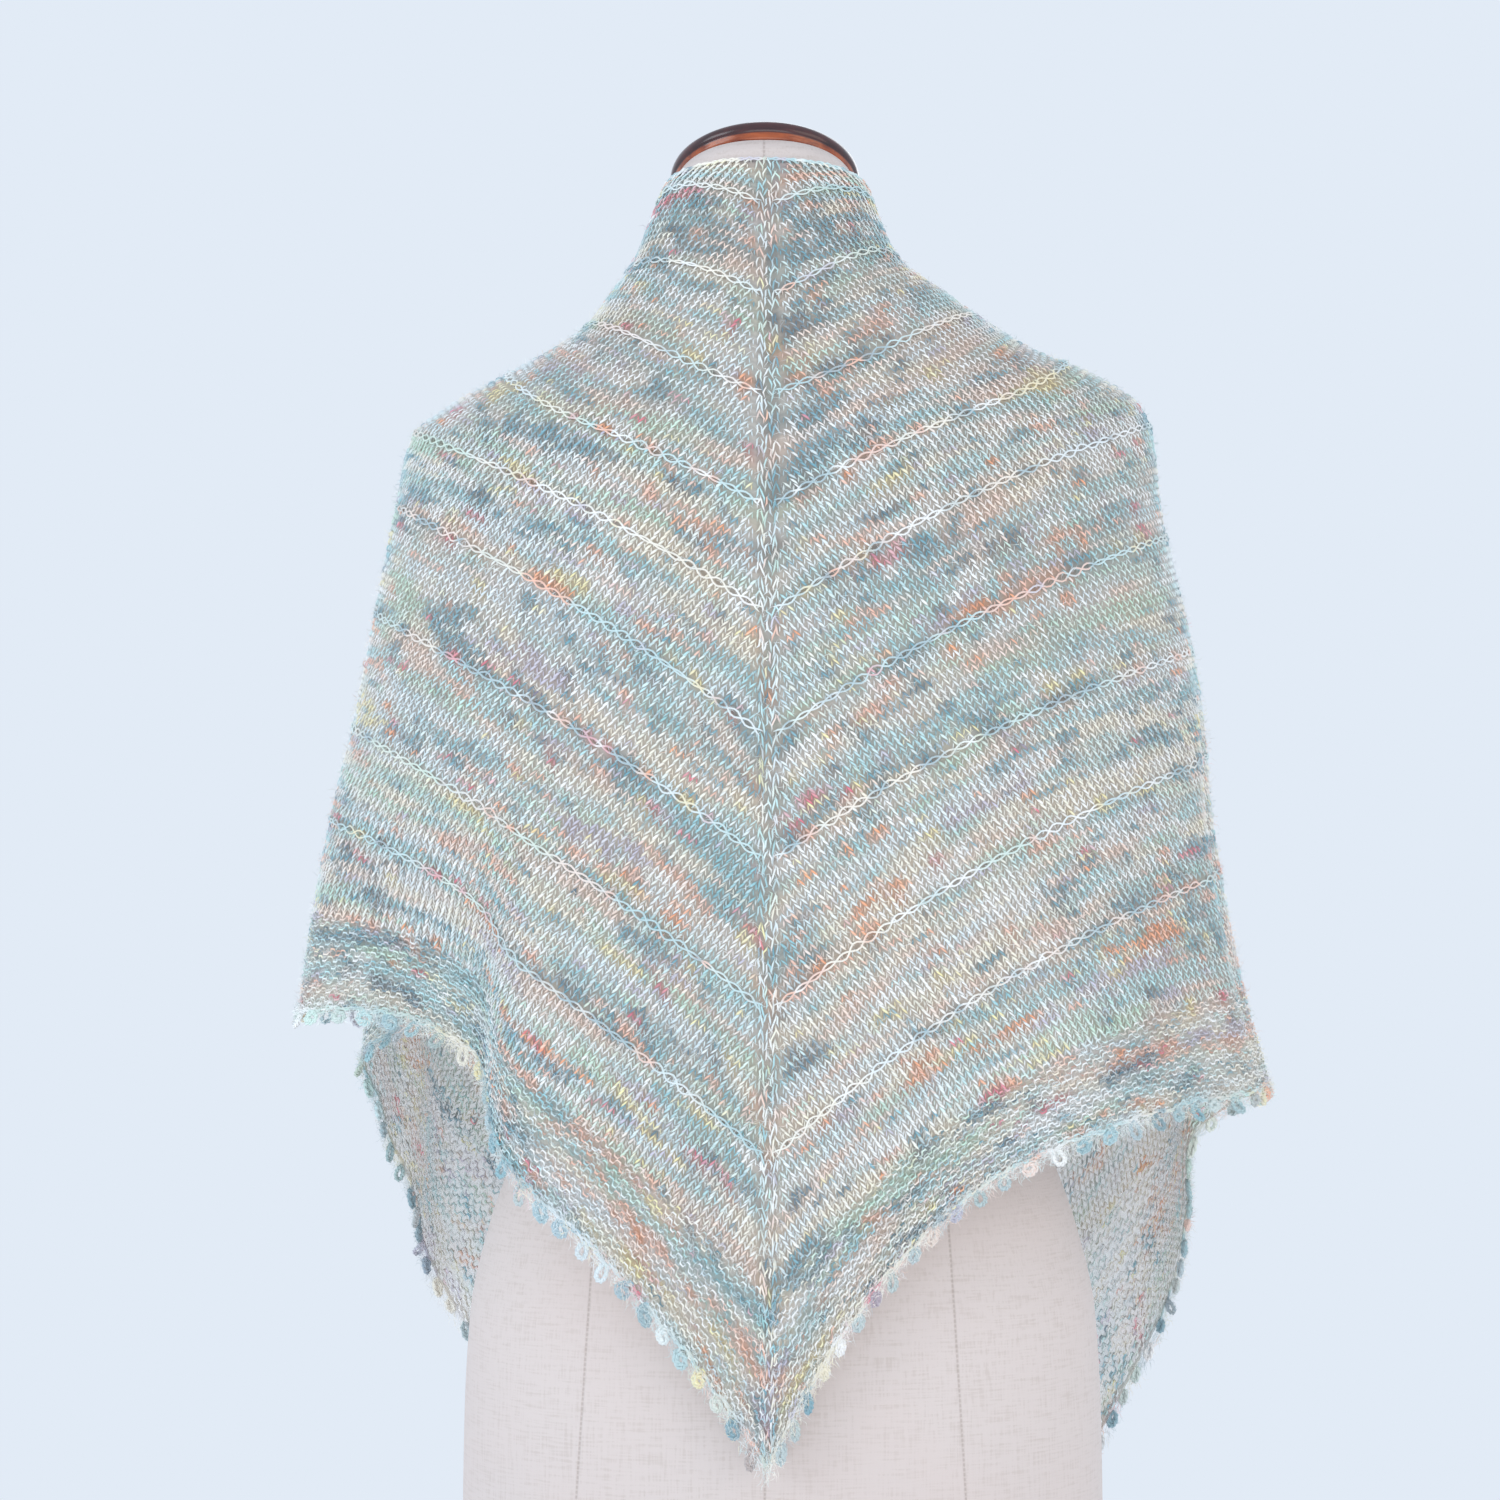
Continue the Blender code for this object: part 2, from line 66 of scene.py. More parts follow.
# %% [markdown]
# ## The drape
#
# A place on the cloth is named by two numbers. `down` is the distance from the
# neck edge to its row, measured along the spine, and `turn` is the angle round
# the form, 0 at the spine and 90 degrees at the side. One could simulate this
# cloth, but the rows of a hand-knitted shawl show where every part of it lies,
# so its form is worked out from a table of rows, a table of level sections and
# a table of folds, the same three that shape the solids.

# %% Tables of the drape
COURSE_COLUMNS = ("down", "spine", "left", "right", "lean", "edge_turn",
                  "left_edge", "right_edge", "left_bow", "right_bow")
COURSES = (
    (0.000, 0.775, 0.762, 0.761, 0.014, 104, 0.757, 0.756, 2.2, 2.2),
    (0.029, 0.749, 0.757, 0.755, 0.010, 128, 0.742, 0.741, 3.0, 3.0),
    (0.082, 0.700, 0.720, 0.727, 0.007, 152, 0.708, 0.706, 3.0, 2.6),
    (0.139, 0.649, 0.691, 0.696, 0.004, 159, 0.660, 0.654, 2.4, 2.4),
    (0.199, 0.594, 0.668, 0.674, 0.000, 161, 0.607, 0.597, 2.2, 2.3),
    (0.252, 0.542, 0.638, 0.642, 0.000, 161, 0.558, 0.544, 2.2, 2.3),
    (0.313, 0.482, 0.601, 0.585, 0.000, 160, 0.500, 0.477, 2.2, 2.4),
    (0.373, 0.422, 0.547, 0.527, 0.000, 158, 0.441, 0.409, 2.2, 2.5),
    (0.445, 0.350, 0.489, 0.473, 0.000, 155, 0.370, 0.326, 2.2, 2.5),
    (0.516, 0.279, 0.443, 0.414, 0.000, 151, 0.300, 0.242, 2.1, 2.8),
    (0.582, 0.211, 0.394, 0.353, 0.000, 147, 0.234, 0.163, 2.3, 3.6),
    (0.668, 0.120, 0.337, 0.297, 0.000, 142, 0.148, 0.060, 2.8, 5.2),
)
SECTION_COLUMNS = ("height", "left", "right", "back", "front")
SECTIONS = (
    (0.050, 0.248, 0.262, 0.127, 0.142),
    (0.200, 0.247, 0.262, 0.127, 0.144),
    (0.297, 0.244, 0.259, 0.127, 0.146),
    (0.341, 0.239, 0.248, 0.127, 0.147),
    (0.391, 0.232, 0.237, 0.126, 0.147),
    (0.445, 0.222, 0.228, 0.126, 0.147),
    (0.489, 0.211, 0.224, 0.1245, 0.146),
    (0.545, 0.200, 0.214, 0.1225, 0.140),
    (0.600, 0.189, 0.201, 0.1180, 0.127),
    (0.635, 0.181, 0.197, 0.1084, 0.111),
    (0.650, 0.163, 0.191, 0.1015, 0.101),
    (0.666, 0.134, 0.168, 0.0936, 0.091),
    (0.678, 0.112, 0.139, 0.0879, 0.086),
    (0.691, 0.093, 0.116, 0.0801, 0.080),
    (0.708, 0.080, 0.092, 0.0701, 0.075),
    (0.727, 0.067, 0.067, 0.0593, 0.072),
    (0.745, 0.060, 0.058, 0.0479, 0.071),
    (0.767, 0.0515, 0.0505, 0.0353, 0.071),
    (0.790, 0.0470, 0.0465, 0.0240, 0.071),
)
FOLD_COLUMNS = ("angle", "width", "reach", "depth", "lift", "start")
LEFT_FOLDS = (
    (33.5, 1.5, 82, -0.030, 0.030, 0.40),
    (27.0, 7.0, 0, 0.006, 0.000, 0.42),
    (70.0, 7.0, 0, 0.007, 0.000, 0.48),
    (101.0, 9.0, 0, -0.052, 0.000, 0.40),
    (118.0, 7.0, 0, -0.022, 0.000, 0.30),
    (129.0, 5.5, 0, -0.016, 0.000, 0.29),
    (138.0, 5.5, 0, 0.017, 0.000, 0.25),
)
RIGHT_FOLDS = (
    (22.0, 6.0, 0, -0.004, 0.000, 0.48),
    (35.0, 8.0, 0, 0.006, 0.000, 0.46),
    (56.0, 7.0, 0, -0.007, 0.000, 0.48),
    (80.0, 6.0, 0, -0.009, 0.000, 0.23),
    (110.0, 9.5, 0, -0.034, 0.000, 0.40),
    (121.0, 7.0, 0, -0.006, 0.000, 0.30),
    (131.0, 6.0, 0, 0.009, 0.000, 0.25),
    (147.0, 5.0, 0, -0.008, 0.000, 0.29),
)
ROUNDNESS = 2.25
BACK_PAST, FRONT_PAST, LEAST_FRONT = 1.2, 1.3, 6.0
STEEPEST = 30.0
RIDGES = np.array([row[0] for row in COURSES[1:10]])
BORDER_TOP = 0.582
EDGE_END = 0.660
WINGS = ((-1, "left"), (1, "right"))


# %% Curves through the tables
def columns(names, rows):
    """The table's columns by name."""
    table = np.array(rows, dtype=float)
    return {name: table[:, i] for i, name in enumerate(names)}


def smooth_curve(x, knots, values):
    """Curve through a table that never overshoots it: in each interval a cubic whose end
    slopes are the harmonic means of the neighbouring chords, and a straight line beyond."""
    step = np.diff(knots)
    slope = np.diff(values) / step
    joined = slope[:-1] * slope[1:]
    total = np.where(joined > 0, slope[:-1] + slope[1:], 1.0)
    inner = np.where(joined > 0, 2.0 * joined / total, 0.0)
    rate = np.concatenate(([slope[0]], inner, [slope[-1]]))
    i = np.clip(np.searchsorted(knots, x) - 1, 0, len(step) - 1)
    u = (x - knots[i]) / step[i]
    v = np.clip(u, 0.0, 1.0)
    inside = ((1 + 2 * v) * (1 - v) ** 2 * values[i] + v * (1 - v) ** 2 * step[i] * rate[i]
              + v ** 2 * (3 - 2 * v) * values[i + 1] + v ** 2 * (v - 1) * step[i] * rate[i + 1])
    return inside + (u - v) * step[i] * np.where(u > 1, rate[i + 1], rate[i])


def ramp(u):
    """Smooth step from 0 to 1: three squares less two cubes."""
    u = np.clip(u, 0.0, 1.0)
    return u * u * (3 - 2 * u)


def unit(vectors):
    return vectors / np.maximum(np.linalg.norm(vectors, axis=-1, keepdims=True), 1e-12)


COURSE = columns(COURSE_COLUMNS, COURSES)
SECTION = columns(SECTION_COLUMNS, SECTIONS)
HEM = COURSE["down"][-1]


def course_value(name, down):
    return smooth_curve(down, COURSE["down"], COURSE[name])


def rounded(angle):
    """Radius of a superellipse of half axes 1 at an angle, a little squarer than a circle."""
    return (np.abs(np.sin(angle)) ** ROUNDNESS + np.abs(np.cos(angle)) ** ROUNDNESS) ** (-1 / ROUNDNESS)


# %% Drape a point of the cloth
def drape(down, turn, side):
    """Point of the cloth. The row's height rises from the spine to the side by a power of the
    turn and falls again to the front edge. The level section at that height gives the place
    round the form. Each fold then adds a bell, or a step that dies away by its reach. A share
    runs on a little past the spine and past the front edge, so that slopes can be taken there."""
    wing = "right" if side > 0 else "left"
    down, turn = np.broadcast_arrays(np.asarray(down, float), np.asarray(turn, float))
    angle = np.radians(turn)
    lean = course_value("lean", down)
    at_side = course_value(wing, down)
    drop_back = at_side + lean - course_value("spine", down)
    edge_turn = course_value("edge_turn", down)
    drop_front = at_side - course_value(wing + "_edge", down)
    back_share = np.clip(1 - turn / 90.0, 0.0, BACK_PAST)
    front_run = np.maximum(edge_turn - 90.0, LEAST_FRONT)
    front_share = np.clip((turn - 90.0) / front_run, 0.0, FRONT_PAST)
    height = (at_side - drop_back * back_share ** course_value(wing + "_bow", down)
              + lean * np.maximum(np.cos(angle), 0) - drop_front * front_share * front_share)
    push = np.zeros_like(height)
    for row in (RIGHT_FOLDS if side > 0 else LEFT_FOLDS):
        fold = dict(zip(FOLD_COLUMNS, row))
        grown = ramp((down - fold["start"]) / (HEM - fold["start"]))
        off = (turn - fold["angle"]) / fold["width"]
        share = np.exp(-off * off)
        if fold["reach"]:
            fading = ramp((turn - fold["angle"]) / (fold["reach"] - fold["angle"]))
            share = (1 - fading) / (1 + np.exp(-np.clip(off, -STEEPEST, STEEPEST)))
        push = push + fold["depth"] * grown * share
        height = height + fold["lift"] * grown * share
    width = smooth_curve(height, SECTION["height"], SECTION[wing])
    depth = np.where(turn <= 90.0, smooth_curve(height, SECTION["height"], SECTION["back"]),
                     smooth_curve(height, SECTION["height"], SECTION["front"]))
    sine, cosine = np.sin(angle), np.cos(angle)
    out_x, out_y = depth * sine, -width * cosine
    norm = np.hypot(out_x, out_y)
    x = width * sine * rounded(angle) + push * out_x / norm
    y = -depth * cosine * rounded(angle) + push * out_y / norm
    return np.stack([side * x, y, height], axis=-1)


print("point of the shawl", drape(HEM, 0.0, 1))

# %% [markdown]
# ## Stitches need lengths
#
# Knitting counts in stitches, and a stitch is a length of cloth, not an angle. So
# a table is made once for each wing: the turn at every 2 mm along every row. With
# it a stitch can be placed by `down` and by `along`, its distance from the spine.
# Each stitch sits a little further out than the one above it, because the columns
# of a triangle shawl run square to its slanting rows.

# %% Distance along a row
ROW_SLOPE = np.radians(33.0)
ROW_STEPS = np.linspace(0.0, HEM + 0.012, 341)
ALONG_STEP = 0.002
ALONG_STEPS = np.arange(0.0, 0.84, ALONG_STEP)
TURN_STEPS = np.linspace(0.0, 172.0, 345)
TURN_REACH, DOWN_REACH = 0.2, 0.0015


def turn_table(side):
    """Turn at each step along each row, read off the row's running length."""
    points = drape(ROW_STEPS[:, None], TURN_STEPS[None, :], side)
    gaps = np.linalg.norm(np.diff(points, axis=1), axis=-1)
    length = np.concatenate([np.zeros((len(ROW_STEPS), 1)), np.cumsum(gaps, axis=1)], axis=1)
    return np.stack([np.interp(ALONG_STEPS, row, TURN_STEPS) for row in length]), length


TURNS, EDGE = {}, {}
for side in (-1, 1):
    TURNS[side], row_lengths = turn_table(side)
    edge_turns = course_value("edge_turn", ROW_STEPS)
    EDGE[side] = np.array([np.interp(t, TURN_STEPS, row) for t, row in zip(edge_turns, row_lengths)])
    print("wing", side, "hem half length", round(float(EDGE[side][-6]), 3))


def turn_at(down, along, side):
    """Turn at a distance along a row, by straight interpolation in the table both ways."""
    row = np.clip(down / ROW_STEPS[1], 0, len(ROW_STEPS) - 1.001)
    place = np.clip(along / ALONG_STEP, 0, len(ALONG_STEPS) - 1.001)
    i, j = row.astype(int), place.astype(int)
    u, v = row - i, place - j
    table = TURNS[side]
    return ((1 - u) * ((1 - v) * table[i, j] + v * table[i, j + 1])
            + u * ((1 - v) * table[i + 1, j] + v * table[i + 1, j + 1]))


def edge_at(down, side):
    """Length of a row from the spine to the front edge."""
    return np.interp(down, ROW_STEPS, EDGE[side])


def patch(down, along, side):
    """Small flat piece of cloth round a point: the point, a unit step along the row, a unit
    step down the column of stitches, and the outward normal, from differences each way."""
    turn = turn_at(down, along, side)
    point = drape(down, turn, side)
    row_way = unit(drape(down, turn + TURN_REACH, side) - drape(down, turn - TURN_REACH, side))
    aside = DOWN_REACH * np.sin(ROW_SLOPE)
    lower = drape(down + DOWN_REACH, turn_at(down + DOWN_REACH, along + aside, side), side)
    upper = drape(down - DOWN_REACH, turn_at(down - DOWN_REACH, along - aside, side), side)
    column_way = unit(lower - upper)
    return point, row_way, column_way, unit(side * np.cross(column_way, row_way))


# %% [markdown]
# ## Shader helper
#
# Blender's materials are node graphs. Clicking them together is fine for one, but
# a script reads better when shader maths looks like maths. This small class wraps
# a socket, so that `1 - mask` adds the Math node by itself.

# %% A socket that does sums
class Sock:
    """Wraps an output socket; sums on it add Math nodes to its tree."""

    def __init__(self, tree, socket):
        self.tree, self.socket = tree, socket

    def math(self, operation, *others):
        node = self.tree.nodes.new("ShaderNodeMath")
        node.operation = operation
        for slot, value in zip(node.inputs, (self, *others)):
            if isinstance(value, Sock):
                self.tree.links.new(value.socket, slot)
            else:
                slot.default_value = value
        return Sock(self.tree, node.outputs[0])

    def __add__(self, other):
        return self.math("ADD", other)

    def __sub__(self, other):
        return self.math("SUBTRACT", other)

    def __rsub__(self, other):
        return (self * -1.0).math("ADD", other)

    def __mul__(self, other):
        return self.math("MULTIPLY", other)

    def __truediv__(self, other):
        return self.math("DIVIDE", other)

    def __pow__(self, other):
        return self.math("POWER", other)

    __radd__, __rmul__ = __add__, __mul__


class Finish:
    """A material being made: `add` puts in any node and returns its first output, or a named one."""

    def __init__(self, name, roughness, sheen=0.0):
        self.material = bpy.data.materials.new(name)
        self.material.use_nodes = True
        self.tree = self.material.node_tree
        self.shader = self.tree.nodes["Principled BSDF"]
        self.shader.inputs["Roughness"].default_value = roughness
        self.shader.inputs["Sheen Weight"].default_value = sheen

    def add(self, kind, settings=None, out=0, **values):
        node = self.tree.nodes.new("ShaderNode" + kind)
        for key, value in (settings or {}).items():
            setattr(node, key, value)
        for key, value in values.items():
            slot = node.inputs[int(key[1:])] if key[1:].isdigit() else node.inputs[key.replace("_", " ")]
            if isinstance(value, Sock):
                self.tree.links.new(value.socket, slot)
            else:
                slot.default_value = value
        return Sock(self.tree, node.outputs[out])

    def split(self, vector):
        """The three parts of a vector."""
        return [self.add("SeparateXYZ", out=k, Vector=vector) for k in range(3)]

    def blend(self, factor, first, second):
        """Mix node on two colours: inputs 6 and 7 are its colours, output 2 their mix."""
        return self.add("Mix", {"data_type": "RGBA"}, out=2, _0=factor, _6=first, _7=second)

    def ease(self, value, low, high):
        """0 below `low`, 1 above `high`, and a smooth step between."""
        return self.add("MapRange", {"interpolation_type": "SMOOTHSTEP"}, _0=value, _1=low, _2=high)

    def feed(self, name, value):
        self.tree.links.new(value.socket, self.shader.inputs[name])

    def bump(self, height, strength, distance):
        self.feed("Normal", self.add("Bump", Height=height, Strength=strength, Distance=distance))


def srgb(red, green, blue):
    """Screen colour, 0 to 255, as the linear colour that shaders use."""
    c = np.array([red, green, blue]) / 255.0
    return np.where(c <= 0.04045, c / 12.92, ((c + 0.055) / 1.055) ** 2.4)


def solid(colour):
    return (*[float(c) for c in colour], 1.0)


# %% [markdown]
# ## Meshes from arrays
#
# Every piece is a set of points worked out with numpy and handed to Blender in one
# go. Adding nearly a million points one by one in Python would take minutes;
# `foreach_set` takes a fraction of a second.

# %% Mesh helpers
def mesh_piece(name, points, faces, finish, uv=None, colour=None, knit=None):
    """Object from points and faces of equal corner count, riding on the body. `uv` and `knit`
    hold a pair for each face corner, `colour` a colour for each point."""
    points = np.ascontiguousarray(points, dtype=np.float32).reshape(-1, 3)
    faces = np.ascontiguousarray(faces, dtype=np.int32)
    corners = faces.shape[1]
    mesh = bpy.data.meshes.new(name)
    mesh.vertices.add(len(points))
    mesh.vertices.foreach_set("co", points.ravel())
    mesh.loops.add(faces.size)
    mesh.loops.foreach_set("vertex_index", faces.ravel())
    mesh.polygons.add(len(faces))
    mesh.polygons.foreach_set("loop_start", np.arange(0, faces.size, corners, dtype=np.int32))
    mesh.update(calc_edges=True)
    mesh.shade_smooth()
    for label, pairs in (("OFBake", uv), ("knit", knit)):
        if pairs is not None:
            layer = mesh.uv_layers.new(name=label)
            layer.data.foreach_set("uv", np.ascontiguousarray(pairs, dtype=np.float32).ravel())
    if colour is not None:
        shades = np.ones((len(points), 4), dtype=np.float32)
        shades[:, :3] = np.asarray(colour).reshape(-1, 3)
        layer = mesh.color_attributes.new("dye", "FLOAT_COLOR", "POINT")
        layer.data.foreach_set("color", shades.ravel())
    mesh.materials.append(finish.material)
    piece = bpy.data.objects.new(name, mesh)
    bpy.context.scene.collection.objects.link(piece)
    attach(piece, BODY)
    print(name, "triangles", len(faces) * (corners - 2))
    return piece


def small_maps(number, outline, margin):
    """Map of many small shapes: each has a cell of its own in a square, and its outline fills
    the cell but for the margin."""
    side = int(np.ceil(np.sqrt(number)))
    cell = np.stack([np.arange(number) % side, np.arange(number) // side], axis=-1)
    return ((cell[:, None] + margin + (1 - 2 * margin) * outline[None]) / side).reshape(-1, 2)


def grid_faces(rows, across, wrap=False):
    """Quads of a grid of points, and each corner's place in it; a wrapped grid joins up."""
    i, j = np.meshgrid(np.arange(rows - 1), np.arange(across if wrap else across - 1), indexing="ij")
    corner_rows = np.stack([i, i, i + 1, i + 1], axis=-1).reshape(-1, 4)
    corner_cols = np.stack([j, j + 1, j + 1, j], axis=-1).reshape(-1, 4)
    return corner_rows * across + corner_cols % across, corner_rows, corner_cols


# %% [markdown]
# ## Camera, floor and light
#
# The picture looks level at the wearer's back from two metres, so the lens and the
# place of the camera come from the width of the view at the spine. The floor is a
# plain pale disc. Large soft lights from both sides, from below and from behind
# give the even daylight that shows every stitch, a little cooler at the left.

# %% Camera
VIEW_DISTANCE = 2.0
VIEW_WIDTH = 0.771
VIEW_MIDDLE = (-0.0087, 0.4755)


def look_from(place, target, thing):
    """Turns a thing at `place` so that its -Z axis points at `target`."""
    thing.location = place
    way = thing.location.copy()
    way.x, way.y, way.z = (t - p for t, p in zip(target, place))
    thing.rotation_euler = way.to_track_quat("-Z", "Y").to_euler()


camera = bpy.data.objects.new("view", bpy.data.cameras.new("view"))
bpy.context.scene.collection.objects.link(camera)
camera.data.sensor_width = 36.0
camera.data.lens = 36.0 * VIEW_DISTANCE / VIEW_WIDTH
look_from((VIEW_MIDDLE[0], -VIEW_DISTANCE, VIEW_MIDDLE[1]), (VIEW_MIDDLE[0], 0, VIEW_MIDDLE[1]), camera)
bpy.context.scene.camera = camera

# %% Floor and light
FLOOR_RADIUS = 0.44
floor_finish = Finish("pale_floor", 0.9)
floor_finish.shader.inputs["Base Color"].default_value = solid(srgb(232, 236, 241))
floor_mesh = bpy.data.meshes.new("floor")
rim = np.linspace(0, 2 * np.pi, 96, endpoint=False)
rim_points = np.stack([FLOOR_RADIUS * np.cos(rim), FLOOR_RADIUS * np.sin(rim), 0 * rim - 0.0005], axis=1)
floor_mesh.from_pydata(rim_points.tolist(), [], [list(range(len(rim)))])
floor_mesh.materials.append(floor_finish.material)
floor = bpy.data.objects.new("floor", floor_mesh)
bpy.context.scene.collection.objects.link(floor)

world = bpy.context.scene.world or bpy.data.worlds.new("daylight")
bpy.context.scene.world = world
world.use_nodes = True
world.node_tree.nodes["Background"].inputs["Color"].default_value = solid(srgb(226, 235, 246))
world.node_tree.nodes["Background"].inputs["Strength"].default_value = 1.0
bpy.context.scene.view_settings.view_transform = "Standard"


def soft_light(name, place, size, power, colour):
    """Square area light that looks at the middle of the shawl."""
    lamp = bpy.data.lights.new(name, "AREA")
    lamp.size, lamp.energy, lamp.color = size, power, colour
    thing = bpy.data.objects.new(name, lamp)
    bpy.context.scene.collection.objects.link(thing)
    look_from(place, (0, 0, 0.45), thing)


soft_light("window", (-2.4, -1.5, 1.5), 1.6, 23, (0.88, 0.95, 1.0))
soft_light("room", (2.0, -1.6, 1.1), 1.8, 10, (1.0, 0.86, 0.70))
soft_light("table", (0.1, -2.2, -0.5), 1.8, 14, (0.97, 0.98, 0.98))
soft_light("rear", (0.8, 2.2, 1.6), 1.8, 16, (0.96, 0.98, 1.0))

# %% [markdown]
# ## The dress form
#
# A limbless form is layers of papier-mache under stretched linen, sewn in long
# panels. It could be a subdivided box, but a stack of rounded rings follows its
# waist, shoulders and forward-leaning neck with fewer guesses. The rings here are
# those of the solid, read through a smooth curve.

# %% Form
FORM_COLUMNS = ("height", "across", "along", "half_width", "half_depth", "lean")
FORM_RINGS = (
    (0.000, 0.008, -0.004, 0.157, 0.103, 0),
    (0.012, 0.008, -0.004, 0.160, 0.105, 0),
    (0.070, 0.008, -0.005, 0.164, 0.108, 0),
    (0.137, 0.008, -0.006, 0.163, 0.107, 0),
    (0.190, 0.008, -0.005, 0.160, 0.104, 0),
    (0.235, 0.008, -0.003, 0.150, 0.098, 0),
    (0.285, 0.008, 0.000, 0.132, 0.088, 0),
    (0.345, 0.008, 0.003, 0.117, 0.082, 0),
    (0.400, 0.008, 0.005, 0.123, 0.091, 0),
    (0.455, 0.008, 0.007, 0.138, 0.107, 0),
    (0.515, 0.008, 0.007, 0.153, 0.120, 0),
    (0.565, 0.008, 0.004, 0.165, 0.119, 0),
    (0.605, 0.008, 0.001, 0.174, 0.113, 0),
    (0.631, 0.008, -0.001, 0.174, 0.1030, 0),
    (0.648, 0.008, -0.002, 0.160, 0.0945, 0),
    (0.662, 0.008, -0.002, 0.137, 0.0870, 1),
    (0.675, 0.007, -0.002, 0.112, 0.0795, 3),
    (0.690, 0.005, 0.000, 0.0890, 0.0715, 6),
    (0.705, 0.002, 0.002, 0.0730, 0.0638, 9),
    (0.721, 0.000, 0.006, 0.0615, 0.0583, 13),
    (0.736, -0.001, 0.0105, 0.0530, 0.0535, 18),
    (0.752, -0.001, 0.0160, 0.0490, 0.0500, 23),
    (0.7645, -0.001, 0.0215, 0.0472, 0.0475, 27),
)
FORM = columns(FORM_COLUMNS, FORM_RINGS)
FORM_SIDES = 128
FORM_LEVELS = 110
FORM_TUCK = 0.0004


def form_point(height, angle, inset=0.0, shrink=1.0):
    """Point of the form: a superellipse whose half axes, middle and forward lean are curves of
    the ring's height. `inset` moves it in, `shrink` draws it to the ring's middle."""
    ring = {name: smooth_curve(height, FORM["height"], FORM[name]) for name in FORM_COLUMNS[1:]}
    lean = np.radians(ring["lean"])
    x = ring["across"] + shrink * (ring["half_width"] - inset) * np.sin(angle) * rounded(angle)
    deep = shrink * (ring["half_depth"] - inset) * np.cos(angle) * rounded(angle)
    return np.stack([x, ring["along"] - deep * np.cos(lean), height + deep * np.sin(lean)], axis=-1)


def form_skin():
    """Skin of the form, with a small round at the base edge and flat closed ends."""
    top = FORM["height"][-1]
    heights = np.concatenate([[0, 0, 0], np.linspace(0, top, FORM_LEVELS), [top] * 3])
    shrink = np.concatenate([[0.02, 0.5, 0.985], np.ones(FORM_LEVELS), [0.985, 0.5, 0.02]])
    heights[3] = 0.0012
    angle = np.linspace(0, 2 * np.pi, FORM_SIDES, endpoint=False)
    points = form_point(heights[:, None], angle[None, :], FORM_TUCK, shrink[:, None])
    faces, rows, cols = grid_faces(len(heights), FORM_SIDES, wrap=True)
    uv = np.stack([cols / FORM_SIDES, rows / (len(heights) - 1)], axis=-1)
    return points, faces[:, ::-1], uv[:, ::-1]


# %% [markdown]
# Linen is a plain weave of uneven flax. At this distance the single threads are too
# fine to see, but their slubs show as short darker dashes along both thread
# directions, so the finish stretches two noises one each way and adds a fine weave
# to the bump.

# %% Linen
SEAMS = ((-0.1009, 0.0653), (-0.0015, 0.0), (0.1035, -0.0609))


def linen():
    """Two stretched noises for the threads, and a fine sewn line at each panel's edge, whose
    place across is its foot plus its slant times the height."""
    made = Finish("oatmeal_linen", 0.92, sheen=0.15)
    place = made.add("TexCoord", out=3)
    weft = made.add("Mapping", _0=place, _3=(70.0, 70.0, 900.0))
    warp = made.add("Mapping", _0=place, _3=(900.0, 900.0, 60.0))
    weft_slub = made.add("TexNoise", Vector=weft, Scale=1.0, Detail=3.0)
    warp_slub = made.add("TexNoise", Vector=warp, Scale=1.0, Detail=3.0)
    cloudy = made.add("TexNoise", Vector=place, Scale=9.0, Detail=2.0)
    pale, oat = solid(srgb(221, 209, 204)), solid(srgb(198, 184, 175))
    shade = made.ease(weft_slub * 0.55 + warp_slub * 0.45, 0.47, 0.66)
    tone = made.blend(shade * 0.45, pale, oat)
    tone = made.blend(made.ease(cloudy, 0.35, 0.75) * 0.35, tone, solid(srgb(225, 206, 199)))
    across, _, height = made.split(place)
    near = across * 0.0 + 1.0
    for foot, slant in SEAMS:
        near = near.math("MINIMUM", (across - height * slant - foot).math("ABSOLUTE"))
    seam = 1.0 - made.ease(near, 0.0001, 0.0009)
    thread = made.ease((height / 0.0024).math("FRACT"), 0.30, 0.45)
    tone = made.blend(seam * (0.15 + thread * 0.25), tone, solid(srgb(150, 132, 120)))
    made.feed("Base Color", tone)
    made.bump(weft_slub + warp_slub - 6.0 * seam, 0.25, 0.0006)
    return made


form_points, form_faces, form_uv = form_skin()
linen_finish = linen()
dress_form = mesh_piece("linen_form", form_points, form_faces, linen_finish, uv=form_uv)
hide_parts("dress_form")

# %% [markdown]
# ## The wooden cap
#
# The neck ends in a turned disc of varnished hardwood. Its top is painted a dark purple-brown
# as shade and dark reflection, and its lip a lighter orange-brown as the lit wood. A turned
# piece is a profile carried round an axis, so the whole cap is one grid of profile points by angle.

# %% Cap
CAP_PROFILE = np.array((
    (0.0000, 0.0000), (0.0000, 0.0440), (0.0004, 0.0460), (0.0012, 0.0470), (0.0028, 0.0477),
    (0.0044, 0.0478), (0.0047, 0.0481), (0.0052, 0.0487), (0.0066, 0.0491), (0.0082, 0.0491),
    (0.0096, 0.0487), (0.0106, 0.0477), (0.0114, 0.0461), (0.0118, 0.0430), (0.0118, 0.0000),
))
CAP_GAP = 0.0003
CAP_SIDES = 128


